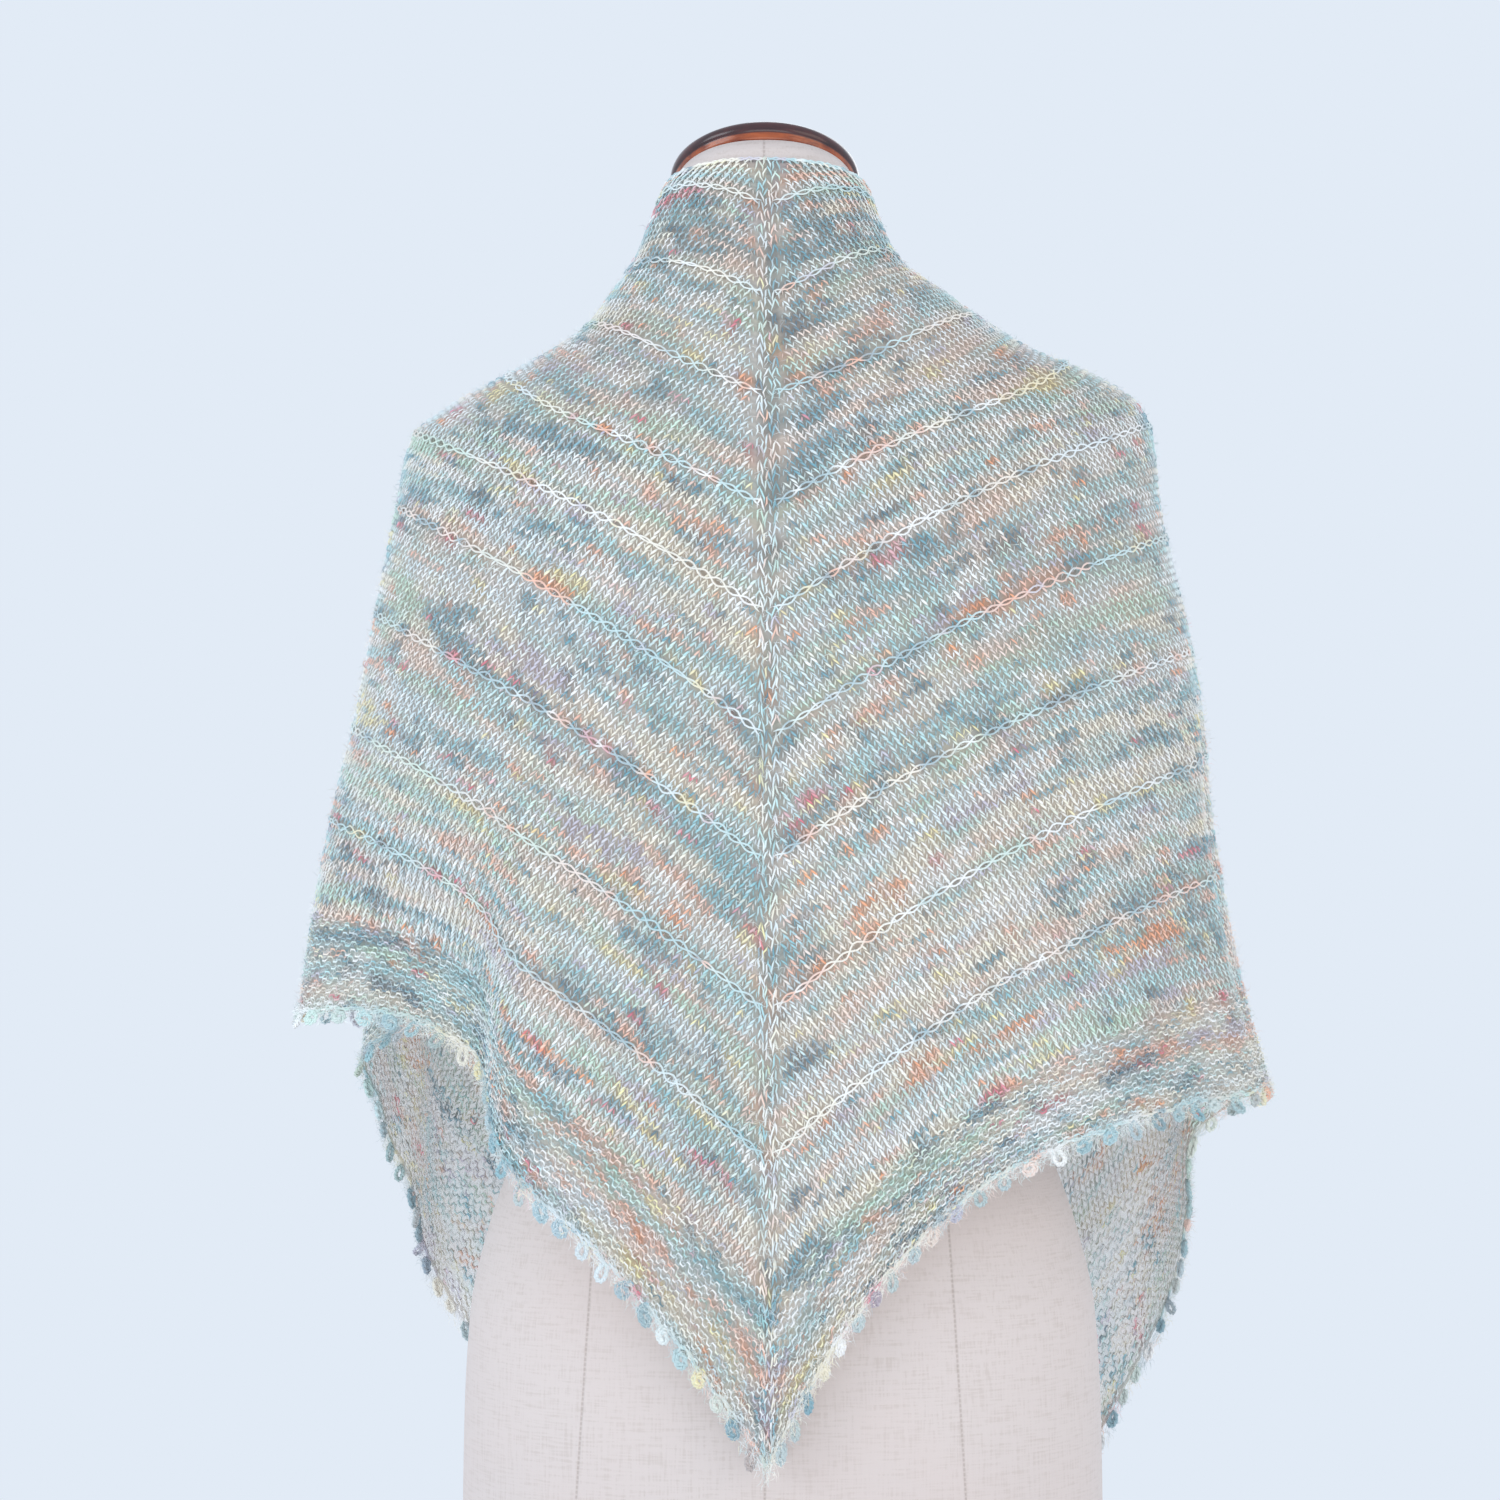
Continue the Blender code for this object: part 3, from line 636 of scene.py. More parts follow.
def cap_surface():
    """Profile of rise and radius turned about the leaning axis of the neck."""
    lean = np.radians(FORM["lean"][-1])
    up = np.array([0, np.sin(lean), np.cos(lean)])
    back = np.array([0, -np.cos(lean), np.sin(lean)])
    base = np.array([FORM["across"][-1], FORM["along"][-1], FORM["height"][-1]]) + CAP_GAP * up
    angle = np.linspace(0, 2 * np.pi, CAP_SIDES, endpoint=False)
    rise = CAP_PROFILE[:, 0, None, None]
    radius = np.maximum(CAP_PROFILE[:, 1], 0.0004)[:, None, None]
    sweep = back * np.cos(angle)[None, :, None] + np.array([1.0, 0, 0]) * np.sin(angle)[None, :, None]
    points = base + up * rise + radius * sweep
    faces, rows, cols = grid_faces(len(CAP_PROFILE), CAP_SIDES, wrap=True)
    uv = np.stack([cols / CAP_SIDES, rows / (len(CAP_PROFILE) - 1)], axis=-1)
    return points, faces[:, ::-1], uv[:, ::-1], base, up


def varnished_wood(base, up):
    made = Finish("varnished_wood", 0.22)
    made.shader.inputs["Coat Weight"].default_value = 0.35
    made.shader.inputs["Coat Roughness"].default_value = 0.12
    place = made.add("TexCoord", out=3)
    along = made.add("Mapping", _0=place, _3=(22.0, 160.0, 160.0))
    grain = made.add("TexNoise", Vector=along, Scale=1.0, Detail=6.0, Roughness=0.65)
    height = made.add("VectorMath", {"operation": "DOT_PRODUCT"}, out=1, _0=place, _1=tuple(up))
    # Painted shade and light: the upper rim is coloured dark purple-brown as shade and dark reflection, the
    # lip below it lighter orange-brown as lit wood.
    rim = made.ease(height - float(np.dot(base, up)), 0.0036, 0.0046)
    lit_lip = made.blend(made.ease(grain, 0.35, 0.7), solid(srgb(176, 86, 38)), solid(srgb(118, 48, 22)))
    top = made.blend(made.ease(grain, 0.35, 0.7), solid(srgb(76, 30, 32)), solid(srgb(40, 15, 22)))
    made.feed("Base Color", made.blend(rim, lit_lip, top))
    made.bump(grain, 0.06, 0.0004)
    return made


cap_points, cap_faces, cap_uv, cap_base, cap_up = cap_surface()
neck_cap = mesh_piece("turned_cap", cap_points, cap_faces, varnished_wood(cap_base, cap_up),
                      uv=cap_uv)
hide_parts("neck_cap")

# %% [markdown]
# ## Hand-dyed yarn
#
# The yarn was dyed in patches, so its colours run along the rows in short streaks:
# pale aqua, mint, ice blue and cream, with dashes of teal, salmon, orange, coral and
# yellow. A colour for every stitch is drawn once, row by row, from random grids that
# are blurred more along the row than across it.

# %% Dye
STITCH = 0.0040
ROW_HEIGHT = 0.0031
ROW_DOWN = ROW_HEIGHT / np.cos(ROW_SLOPE)
DYE_ROWS, DYE_COLUMNS, DYE_MIDDLE = 200, 320, 110
GROUND_DYES = (
    ("aqua", srgb(173, 218, 223), 0.26), ("mint", srgb(194, 226, 207), 0.13),
    ("ice", srgb(225, 239, 245), 0.25), ("cream", srgb(248, 239, 220), 0.27),
    ("sea", srgb(132, 192, 203), 0.16), ("blush", srgb(247, 218, 203), 0.14),
)
ACCENT_DYES = (
    ("mauve", srgb(194, 188, 208), 0.050), ("yellow", srgb(243, 228, 166), 0.050),
    ("teal", srgb(80, 150, 170), 0.120), ("petrol", srgb(48, 106, 130), 0.028),
    ("salmon", srgb(243, 184, 158), 0.070), ("orange", srgb(248, 158, 100), 0.024),
    ("coral", srgb(222, 92, 116), 0.014), ("white", srgb(250, 252, 251), 0.110),
)
COLLAR = (0.055, 0.028)
PALE_YARN = srgb(240, 243, 242)
PALEST = 0.97


def blurred(down_width, along_width):
    """Random grid blurred by a Gaussian of each width, in rows and in stitches, with a spread
    of 1: its Fourier transform times the blur's."""
    noise = rng.standard_normal((DYE_ROWS, DYE_COLUMNS))
    down_wave = np.fft.fftfreq(DYE_ROWS)[:, None]
    along_wave = np.fft.rfftfreq(DYE_COLUMNS)[None, :]
    decay = np.exp(-2 * np.pi ** 2 * ((down_wave * down_width) ** 2 + (along_wave * along_width) ** 2))
    soft = np.fft.irfft2(np.fft.rfft2(noise) * decay, s=noise.shape)
    return soft / soft.std()


def dyed_grid(side):
    """Colour of each stitch: ground dyes share it by how high their noises stand, and each
    accent covers the cells where its own noise is among the highest. The blue-green ones
    stand higher in a bell of rows round the collar, the warm ones in the right wing, mint in
    the border and cream in its right half."""
    row = (np.arange(DYE_ROWS) * ROW_DOWN)[:, None]
    collar = np.exp(-((row - COLLAR[0]) / COLLAR[1]) ** 2)
    border = ramp((row - BORDER_TOP) / 0.02 + 0.5)
    lean = {"sea": 1.2 * collar, "mint": 0.4 * collar + 0.4 * border, "blush": 0.20 * side,
            "cream": 0.20 * side + (0.8 * border if side > 0 else 0.0)}
    heights = np.stack([0.9 * blurred(1.5, 8.0) + 0.8 * blurred(0.5, 2.6) + 4.0 * bias
                        + lean.get(name, 0.0) for name, _, bias in GROUND_DYES])
    shares = np.exp(2.3 * heights)
    shares /= shares.sum(axis=0)
    grid = np.einsum("kij,kc->ijc", shares, np.stack([colour for _, colour, _ in GROUND_DYES]))
    for name, colour, amount in ACCENT_DYES:
        height = 0.85 * blurred(1.2, 4.6) + 0.85 * blurred(0.30, 0.9)
        edge = np.quantile(height, 1 - amount)
        height = height + (1.1 * collar if name == "teal" else 0.0)
        share = 0.92 * ramp((height - edge + 0.20) / 0.60)
        grid = grid * (1 - share[..., None]) + colour * share[..., None]
    return grid


DYE = {side: dyed_grid(side) for side in (-1, 1)}


def mottled(colour, strength=0.65):
    """Bits of yarn vary one by one: each is drawn some way towards undyed white, most of them
    only a little, and made a little lighter or darker."""
    pale = strength * rng.uniform(0, 1, (len(colour), 1)) ** 2
    return (colour * (1 - pale) + PALE_YARN * pale) * (1 + 0.08 * rng.standard_normal((len(colour), 1)))


def dye_at(down, along, side):
    """Colour of the stitch at a place, by its row and column."""
    column = (along - down * np.sin(ROW_SLOPE)) / STITCH + DYE_MIDDLE
    row = down / ROW_DOWN
    i = np.clip(np.rint(row).astype(int), 0, DYE_ROWS - 1)
    j = np.clip(np.rint(column).astype(int), 0, DYE_COLUMNS - 1)
    return DYE[side][i, j]


# %% [markdown]
# ## The ground of the cloth
#
# Behind the stitches lies a thin closed sheet in the shawl's own form: the haze of
# mohair that fills the gaps. It could be left out, but a knit seen against the light
# is never empty between its strands. Its colour is the yarn's, drawn towards a beige that
# stands partly for the linen behind and partly for painted shade between the strands, and
# its inner skin is painted paler, as light on the wrong side. Its alpha opens at the
# eyelets, so the linen shows through them.

# %% Ground sheet
GROUND_THICKNESS = 0.0009
GROUND_SINK = 0.0006
GROUND_ROWS = 84
GROUND_STATIONS = 101
EYELET_STEP = 0.0082
EYELET_DROP = 0.0012
EYELET_HALF = (0.0014, 0.0022)
SPINE_OPEN = 0.0072


def ground_sheet():
    """Grid from the left front edge over the spine to the right one, as two skins and a rim.
    Stations are spaced evenly by turn; both skins lie just under the stitches."""
    down = np.linspace(0.0, EDGE_END, GROUND_ROWS)
    share = np.linspace(0.0, 1.0, GROUND_STATIONS)
    outer, inner, shade, knit = [], [], [], []
    for side in (-1, 1):
        turn = course_value("edge_turn", down)[:, None] * share[None, :]
        place = np.broadcast_to(down[:, None], turn.shape)
        gaps = np.linalg.norm(np.diff(drape(place, turn, side), axis=1), axis=-1)
        along = np.concatenate([np.zeros((GROUND_ROWS, 1)), np.cumsum(gaps, axis=1)], axis=1)
        point, _, _, out = patch(place, along, side)
        spread = dye_at(place, along, side)
        order = slice(None, 0, -1) if side < 0 else slice(None)
        outer.append((point - GROUND_SINK * out)[:, order])
        inner.append((point - (GROUND_SINK + GROUND_THICKNESS) * out)[:, order])
        shade.append(spread[:, order])
        knit.append(np.stack([side * along, place], axis=-1)[:, order])
    outer, inner, shade, knit = (np.concatenate(x, axis=1) for x in (outer, inner, shade, knit))
    return outer, inner, shade, knit


def closed_sheet(outer, inner, knit):
    """Faces and corner maps of two facing grids joined round their edge. The outer skin takes
    the left half of the map, the inner skin the right half and the rim a strip below."""
    rows, across = outer.shape[:2]
    faces, face_rows, face_cols = grid_faces(rows, across)
    u, v = face_cols / (across - 1), face_rows / (rows - 1)
    front = np.stack([0.01 + 0.48 * u, 0.03 + 0.96 * v], axis=-1)
    behind = front + np.array([0.50, 0.0])
    flat = knit.reshape(-1, 2)
    number = np.arange(rows * across).reshape(rows, across)
    ring = np.concatenate([number[0], number[1:, -1], number[-1, -2::-1], number[-2:0:-1, 0]])
    after = np.roll(ring, -1)
    count = rows * across
    rim = np.stack([after, ring, ring + count, after + count], axis=-1)
    step = np.arange(len(ring)) / len(ring)
    ahead = step + 1 / len(ring)
    low, high = np.full(len(ring), 0.004), np.full(len(ring), 0.016)
    rim_uv = np.stack([np.stack(pair, axis=-1) for pair in
                       ((ahead, high), (step, high), (step, low), (ahead, low))], axis=1)
    all_faces = np.concatenate([faces, faces[:, ::-1] + count, rim])
    all_uv = np.concatenate([front, behind[:, ::-1], rim_uv])
    all_knit = flat[all_faces % count]
    return all_faces, all_uv, all_knit


# %% Ground finish
def mohair_ground():
    """Colour from the dye attribute, drawn towards a beige that stands partly for the linen behind
    and partly for painted shade between the strands, less so in the border; alpha is less in the
    fronts, which hang loose, and falls in an ellipse under each ridge at every eyelet step, and
    beside the spine column."""
    made = Finish("mohair_ground", 0.95, sheen=0.3)
    knit = made.add("UVMap", {"uv_map": "knit"})
    along, down, _ = made.split(knit)
    tone = made.add("VertexColor", {"layer_name": "dye"})
    # Painted shade: the dye is drawn towards beige, partly the linen seen behind and partly shade between the
    # strands.
    linen_and_shade_share = 0.66 - 0.24 * made.ease(down, BORDER_TOP - 0.01, BORDER_TOP + 0.02)
    made.feed("Base Color", made.blend(linen_and_shade_share, tone, solid(srgb(194, 176, 160))))
    near = down * 0.0 + 1.0
    for course in RIDGES:
        near = near.math("MINIMUM", (down - float(course + EYELET_DROP)).math("ABSOLUTE"))
    cell = (along / EYELET_STEP).math("FRACT")
    off = (cell - 0.5) * (EYELET_STEP / EYELET_HALF[1])
    eyelet = (near / EYELET_HALF[0]) ** 2.0 + off * off
    hole = 1.0 - made.ease(eyelet, 0.6, 1.2)
    spine = 1.0 - made.ease(along.math("ABSOLUTE"), SPINE_OPEN - 0.002, SPINE_OPEN)
    haze = 0.76 - 0.50 * made.ease(along.math("ABSOLUTE"), 0.26, 0.40)
    made.feed("Alpha", haze * (1.0 - (hole * 0.38).math("MAXIMUM", spine * 0.22)) + 0.03)
    rows = (down * (2 * np.pi / ROW_DOWN)).math("SINE")
    made.bump(rows, 0.4, 0.0006)
    return made


outer_skin, inner_skin, ground_shade, ground_knit = ground_sheet()
sheet_faces, sheet_uv, sheet_knit = closed_sheet(outer_skin, inner_skin, ground_knit)
# The inner skin's dye is painted paler than the outer's, as light on the wrong side, which lies in shade.
ground = mesh_piece("shawl_ground", np.concatenate([outer_skin.reshape(-1, 3), inner_skin.reshape(-1, 3)]),
                    sheet_faces, mohair_ground(), uv=sheet_uv, knit=sheet_knit,
                    colour=np.concatenate([ground_shade.reshape(-1, 3),
                                           0.5 * ground_shade.reshape(-1, 3) + 0.8 * PALE_YARN]))
CLOTH_NODES = [name for name in frame["nodes"] if name not in ("dress_form", "neck_cap")]
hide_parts(*CLOTH_NODES)

# %% [markdown]
# ## Yarn in short bits
#
# Each visible bit of yarn in a knit is short: it comes up from behind, arches over
# and dips again. One shape serves them all, a slim leaf of eight points along a
# curved path, raised along its middle. Eighty thousand full tubes would be far too
# heavy, and at arm's length nobody could tell them from these.

# %% Yarn bits
LEAF = np.array([(0, 2, 1), (0, 3, 2), (1, 2, 5), (1, 5, 4), (2, 3, 6), (2, 6, 5), (4, 5, 7), (5, 6, 7)])
LEAF_UV = np.array([(0.5, 0), (0, 0.33), (0.5, 0.33), (1, 0.33), (0, 0.67), (0.5, 0.67), (1, 0.67), (0.5, 1)])
# Brightness at each leaf point: painted highlight along the crest, painted shade at the edges and at the ends
# where the yarn dips under.
LEAF_PAINTED_SHADE = np.array([0.72, 0.86, 1.10, 0.86, 0.86, 1.10, 0.86, 0.72])


def yarn_bits(name, path, out, half_width, crest, colour, finish):
    """Piece of many leaves. Each follows the four points of its path; its two middle rows
    stand half a width to each side of the path and rise by `crest` along `out`. Its colour
    is painted lighter along the crest and darker at the edges and ends, as highlight and shade."""
    number = len(path)
    way = unit(np.stack([path[:, 2] - path[:, 0], path[:, 3] - path[:, 1]], axis=1))
    across = unit(np.cross(way, out[:, None, :])) * np.reshape(half_width, (-1, 1, 1))
    top = out[:, None, :] * np.reshape(crest, (-1, 1, 1))
    first, second = path[:, 1:2], path[:, 2:3]
    points = np.concatenate([
        path[:, 0:1], first - across[:, :1], first + top, first + across[:, :1],
        second - across[:, 1:], second + top, second + across[:, 1:], path[:, 3:4]], axis=1)
    faces = (np.arange(number)[:, None, None] * len(LEAF_UV) + LEAF[None]).reshape(-1, 3)
    uv = small_maps(number, LEAF_UV, 0.08)[faces]
    shades = colour[:, None, :] * LEAF_PAINTED_SHADE[None, :, None]
    return mesh_piece(name, points, faces, finish, uv=uv, colour=np.minimum(shades, PALEST))


def mohair_yarn(name, glow):
    """Yarn finish: the dye attribute drawn towards near-white by `glow`, with the soft sheen of a fuzzy
    fibre. A larger glow is painted light.
    """
    made = Finish(name, 0.85, sheen=0.5)
    made.shader.inputs["Sheen Roughness"].default_value = 0.4
    tone = made.add("VertexColor", {"layer_name": "dye"})
    made.feed("Base Color", made.blend(glow, tone, (0.95, 0.97, 0.97, 1.0)))
    return made


yarn_finish = mohair_yarn("mohair_yarn", 0.10)
# The inside finish has twice the glow: painted light on the wrong side of the fronts, which lies in shade.
painted_light_inside_finish = mohair_yarn("mohair_inside_painted_light", 0.20)

# %% [markdown]
# ## Stocking stitch
#
# The right side of stocking stitch is columns of small chevrons. Knitted from the
# neck down they point up, each leg coming out from under the chevron above and
# spreading as it falls. Stretched along the hem, the legs that lean outward carry
# the pull and lie on top, and the others show thin between them, so the fabric
# reads as a net. Two leaves make one stitch, and a grid of them makes the wing.

# %% Stitches
LEG_FALL = {1: np.array([-0.84, -0.26, 0.34, 0.90]), -1: np.array([-0.58, -0.22, 0.14, 0.46])}
LEG_SPREAD = {1: np.array([0.01, 0.14, 0.31, 0.43]), -1: np.array([0.05, 0.18, 0.36, 0.52])}
LEG_LIFT = {1: np.array([-0.0003, 0.0008, 0.0009, -0.0001]), -1: np.array([-0.0003, 0.0002, 0.0002, -0.0004])}
LEG_HALF = {1: 0.00050, -1: 0.00032}
# Painted shade: the leg that lies under the other is coloured 6% darker.
LEG_PAINTED_SHADE = {1: 1.0, -1: 0.94}
LEG_CREST = 0.00034
SPINE_CLEAR = 0.0080
EYELET_CLEAR = (0.0024, 0.0028)
SIDE_TURN = 88.0
STRETCHES = (("back", 0.0, SIDE_TURN), ("front", SIDE_TURN, 180.0))


def stitch_places(side, low, high):
    """Row and distance along it of each stitch between two rows, inside the wing's edges and
    off the eyelets."""
    rows = np.arange(low, high, ROW_DOWN)
    columns_out = np.arange(-DYE_MIDDLE, DYE_COLUMNS - DYE_MIDDLE) * STITCH
    down, column = (x.ravel() for x in np.meshgrid(rows, columns_out, indexing="ij"))
    along = column + down * np.sin(ROW_SLOPE)
    inside = (along > SPINE_CLEAR) & (along < edge_at(down, side) - 0.4 * STITCH)
    near = np.abs(down[:, None] - RIDGES[None] - EYELET_DROP).min(axis=1)
    off = ((along / EYELET_STEP) % 1.0 - 0.5) * EYELET_STEP
    eyelet = (near / EYELET_CLEAR[0]) ** 2 + (off / EYELET_CLEAR[1]) ** 2 < 1
    keep = inside & ~eyelet
    return down[keep], along[keep]


def leg_paths(place, leg):
    """Four points of one leg of every stitch: falls by LEG_FALL rows and spreads by LEG_SPREAD
    stitches, outward for leg 1 and to the spine for leg -1, rising off the cloth between."""
    point, row_way, column_way, out = place
    number = len(point)
    fall = (LEG_FALL[leg][None] + 0.07 * rng.standard_normal((number, 1))) * ROW_HEIGHT
    spread = (LEG_SPREAD[leg][None] * (1 + 0.12 * rng.standard_normal((number, 1)))
              + 0.05 * rng.standard_normal((number, 1))) * STITCH * leg
    lift = LEG_LIFT[leg][None] * (1 + 0.25 * rng.standard_normal((number, 1)))
    return (point[:, None] + column_way[:, None] * fall[..., None]
            + row_way[:, None] * spread[..., None] + out[:, None] * lift[..., None])


def knit_stretch(name, side, near_turn, far_turn, low, high):
    """Stocking stitch of one wing between two turns and two rows."""
    down, along = stitch_places(side, low, high)
    turn = turn_at(down, along, side)
    keep = (turn >= near_turn) & (turn < far_turn)
    down, along = down[keep], along[keep]
    place = patch(down, along, side)
    colour = dye_at(down, along, side)
    paths = np.concatenate([leg_paths(place, leg) for leg in (-1, 1)])
    # Each stitch's under leg is painted darker, as shade.
    shades = np.concatenate([mottled(colour) * LEG_PAINTED_SHADE[leg] for leg in (-1, 1)])
    widths = [LEG_HALF[leg] * (1 + 0.15 * rng.standard_normal(len(down))) for leg in (-1, 1)]
    return yarn_bits(name, paths, np.concatenate([place[3]] * 2), np.concatenate(widths), LEG_CREST,
                     shades, yarn_finish)


for side, hand in WINGS:
    for stretch, near_turn, far_turn in STRETCHES:
        knit_stretch(f"{stretch}_stitches_{hand}", side, near_turn, far_turn,
                                    0.6 * ROW_DOWN, BORDER_TOP - 0.3 * ROW_DOWN)

# %% [markdown]
# ## The open spine
#
# Two stitches are made on each side of the middle every second row, so the column
# down the back is drawn out into tall loose chevrons with holes between them. The
# same kind of leg is used, nearly twice as tall and less even, in three columns.

# %% Spine
SPINE_COLUMNS = ((0.0, 0.0), (0.0043, 0.5))
TALL = 1.75
TALL_FALL = np.array([-0.72, -0.22, 0.30, 0.80])
TALL_SPREAD = np.array([-0.04, 0.18, 0.36, 0.52])
TALL_LIFT = np.array([0.0000, 0.0011, 0.0011, 0.0001])
TALL_HALF, TALL_CREST = 0.00044, 0.0004


def spine_bits():
    """Tall chevrons in columns at 0 and 4.3 mm to each side, the outer ones half a step lower,
    each leg wandering a little."""
    paths, outs, shades = [], [], []
    step = TALL * ROW_DOWN
    for side in (-1, 1):
        for away, shift in SPINE_COLUMNS:
            down = np.arange(0.7 * ROW_DOWN, EDGE_END - ROW_DOWN, step) + shift * step
            down += 0.0009 * rng.standard_normal(len(down))
            along = np.full(len(down), away + 0.0001)
            point, row_way, column_way, out = patch(down, along, side)
            fall_way = unit(drape(down + 0.002, 0 * down, side) - drape(down - 0.002, 0 * down, side))
            for leg in ((1,) if away == 0.0 else (-1, 1)):
                fall = TALL_FALL[None, :, None] * ROW_HEIGHT * TALL
                wander = 0.15 * rng.standard_normal((len(down), 4))
                spread = ((TALL_SPREAD[None] + wander) * STITCH * leg)[..., None]
                paths.append(point[:, None] + fall_way[:, None] * fall + row_way[:, None] * spread
                             + out[:, None] * TALL_LIFT[None, :, None])
                outs.append(out)
                shades.append(mottled(dye_at(down, along, side)))
    return np.concatenate(paths), np.concatenate(outs), np.concatenate(shades)


spine_paths, spine_outs, spine_shades = spine_bits()
spine_knit = yarn_bits("spine_stitches", spine_paths, spine_outs, TALL_HALF, TALL_CREST,
                       spine_shades, yarn_finish)

# %% [markdown]
# ## Ridges, selvedges and the bound-off edge
#
# At each eyelet row two strands cross and part again, with a hole in every opening.
# A cord like this could be a curve with a bevel; as a grid of points carried along
# the row it joins the other pieces without any conversion. Its two strands are the
# same wave, half a turn apart.

# %% Cords
CORD_SIDES = 4
CORD_STEP = 0.0022
RIDGE_SWING, RIDGE_RISE, RIDGE_STRAND = 0.0014, 0.0014, 0.00048
PLY_STEP, PLY_STRAND = 0.0045, 0.0006
NECK_EDGE, HEM_EDGE, FRONT_INSET = 0.0008, 0.6575, 0.0012
RUFFLES = ((0.0012, 0.0022), (0.0009, 0.0061))


def tube(path, out, radius):
    """Points of a tube: at each point of the path, a ring in the plane of `out` and of the
    direction square to it and to the path."""
    way = unit(np.gradient(path, axis=0))
    across = unit(np.cross(way, out))
    out = np.cross(across, way)
    angle = np.arange(CORD_SIDES) * 2 * np.pi / CORD_SIDES
    ring = out[:, None] * np.cos(angle)[None, :, None] + across[:, None] * np.sin(angle)[None, :, None]
    return path[:, None] + np.reshape(radius, (-1, 1, 1)) * ring


def cords(name, strands, glow=0.0):
    """Piece of many tubes. `strands` holds a path, outward directions, a radius and colours."""
    points, faces, uv, shade, base = [], [], [], [], 0
    for k, (path, out, radius, colour) in enumerate(strands):
        taper = np.ones(len(path))
        taper[[0, -1]] = 0.25
        ring = tube(path, out, radius * taper)
        quads, rows, cols = grid_faces(len(path), CORD_SIDES, wrap=True)
        faces.append(quads + base)
        strip = (k + 0.1 + 0.8 * cols / CORD_SIDES) / len(strands)
        uv.append(np.stack([rows / (len(path) - 1), strip], axis=-1))
        points.append(ring.reshape(-1, 3))
        shade.append(np.repeat(colour * (1 - glow) + glow, CORD_SIDES, axis=0))
        base += len(path) * CORD_SIDES
    return mesh_piece(name, np.concatenate(points), np.concatenate(faces), yarn_finish,
                      uv=np.concatenate(uv), colour=np.minimum(np.concatenate(shade), PALEST))


def plied(down, along, side, step, amplitude, rise, radius):
    """Two strands along a line of the cloth. Each swings across the cloth by `amplitude` as a
    cosine of its length, and in and out as the sine, half a turn from the other."""
    point, row_way, column_way, out = patch(down, along, side)
    run = np.concatenate([[0], np.cumsum(np.linalg.norm(np.diff(point, axis=0), axis=1))])
    phase = np.pi * (run / step)
    way = unit(np.gradient(point, axis=0))
    swing_way = unit(np.cross(out, way))
    strands = []
    for turn in (0.0, np.pi):
        wobble = 1 + 0.6 * np.sin(phase * 0.23 + rng.uniform(0, 6)) * np.sin(phase * 0.071)
        swing = amplitude * wobble * np.cos(phase + turn)
        lift = rise + 0.5 * radius * np.sin(2 * phase + turn)
        path = point + swing_way * swing[:, None] + out * lift[:, None]
        strands.append((path, out, radius, dye_at(down, along, side)))
    return strands


def row_line(down, side, start, end):
    along = np.arange(start, end, CORD_STEP)
    return np.full(len(along), down), along


for side, hand in WINGS:
    strands = []
    for course in RIDGES:
        down, along = row_line(course + EYELET_DROP, side, 0.5 * EYELET_STEP, edge_at(course, side))
        strands += plied(down, along, side, EYELET_STEP, RIDGE_SWING, RIDGE_RISE, RIDGE_STRAND)
    cords(f"ridges_{hand}", strands, glow=0.35)
    strands = []
    for down_at, ruffle in ((NECK_EDGE, 0.0), (HEM_EDGE, 1.0)):
        down, along = row_line(down_at, side, 0.0, edge_at(down_at, side))
        down = down + ruffle * sum(a * np.sin(along / long) for a, long in RUFFLES)
        strands += plied(down, along, side, PLY_STEP, 0.0007, 0.0006, PLY_STRAND)
    down = np.arange(0.0, EDGE_END, CORD_STEP * 1.2)
    strands += plied(down, edge_at(down, side) - FRONT_INSET, side, PLY_STEP, 0.0006, 0.0003, PLY_STRAND)
    cords(f"edges_{hand}", strands, glow=0.25)

# %% [markdown]
# ## Garter stitch and the wrong side
#
# In garter stitch every second row shows its purl side, so the border is wavy lines
# of small arcs. The same arcs cover the wrong side of the stocking stitch, which
# shows inside the two hanging fronts. An arc is again one leaf, bent into a half
# round, and the rows waver a little because a hand knitted them.

# %% Arcs
ARC_ACROSS = np.array([-0.31, -0.15, 0.15, 0.31])
ARC_FALL = np.array([-0.30, 0.90, 0.90, -0.30])
GARTER_ROW = 0.0028
GARTER_WAVE = 0.0060
PURL_WAVE = 0.0080
WAVERS = ((0.0009, 0.0071, 1.7), (0.0007, 0.0029, 2.9))
ARC_HALF, ARC_CREST = 0.00046, 0.00035
GARTER_END = 0.6560
PURL_TOP, PURL_FADING = 0.400, 0.12
ALL_ROUND, PAST_SIDE, ON_FRONT = (0, 180), (84, 180), (108, 180)


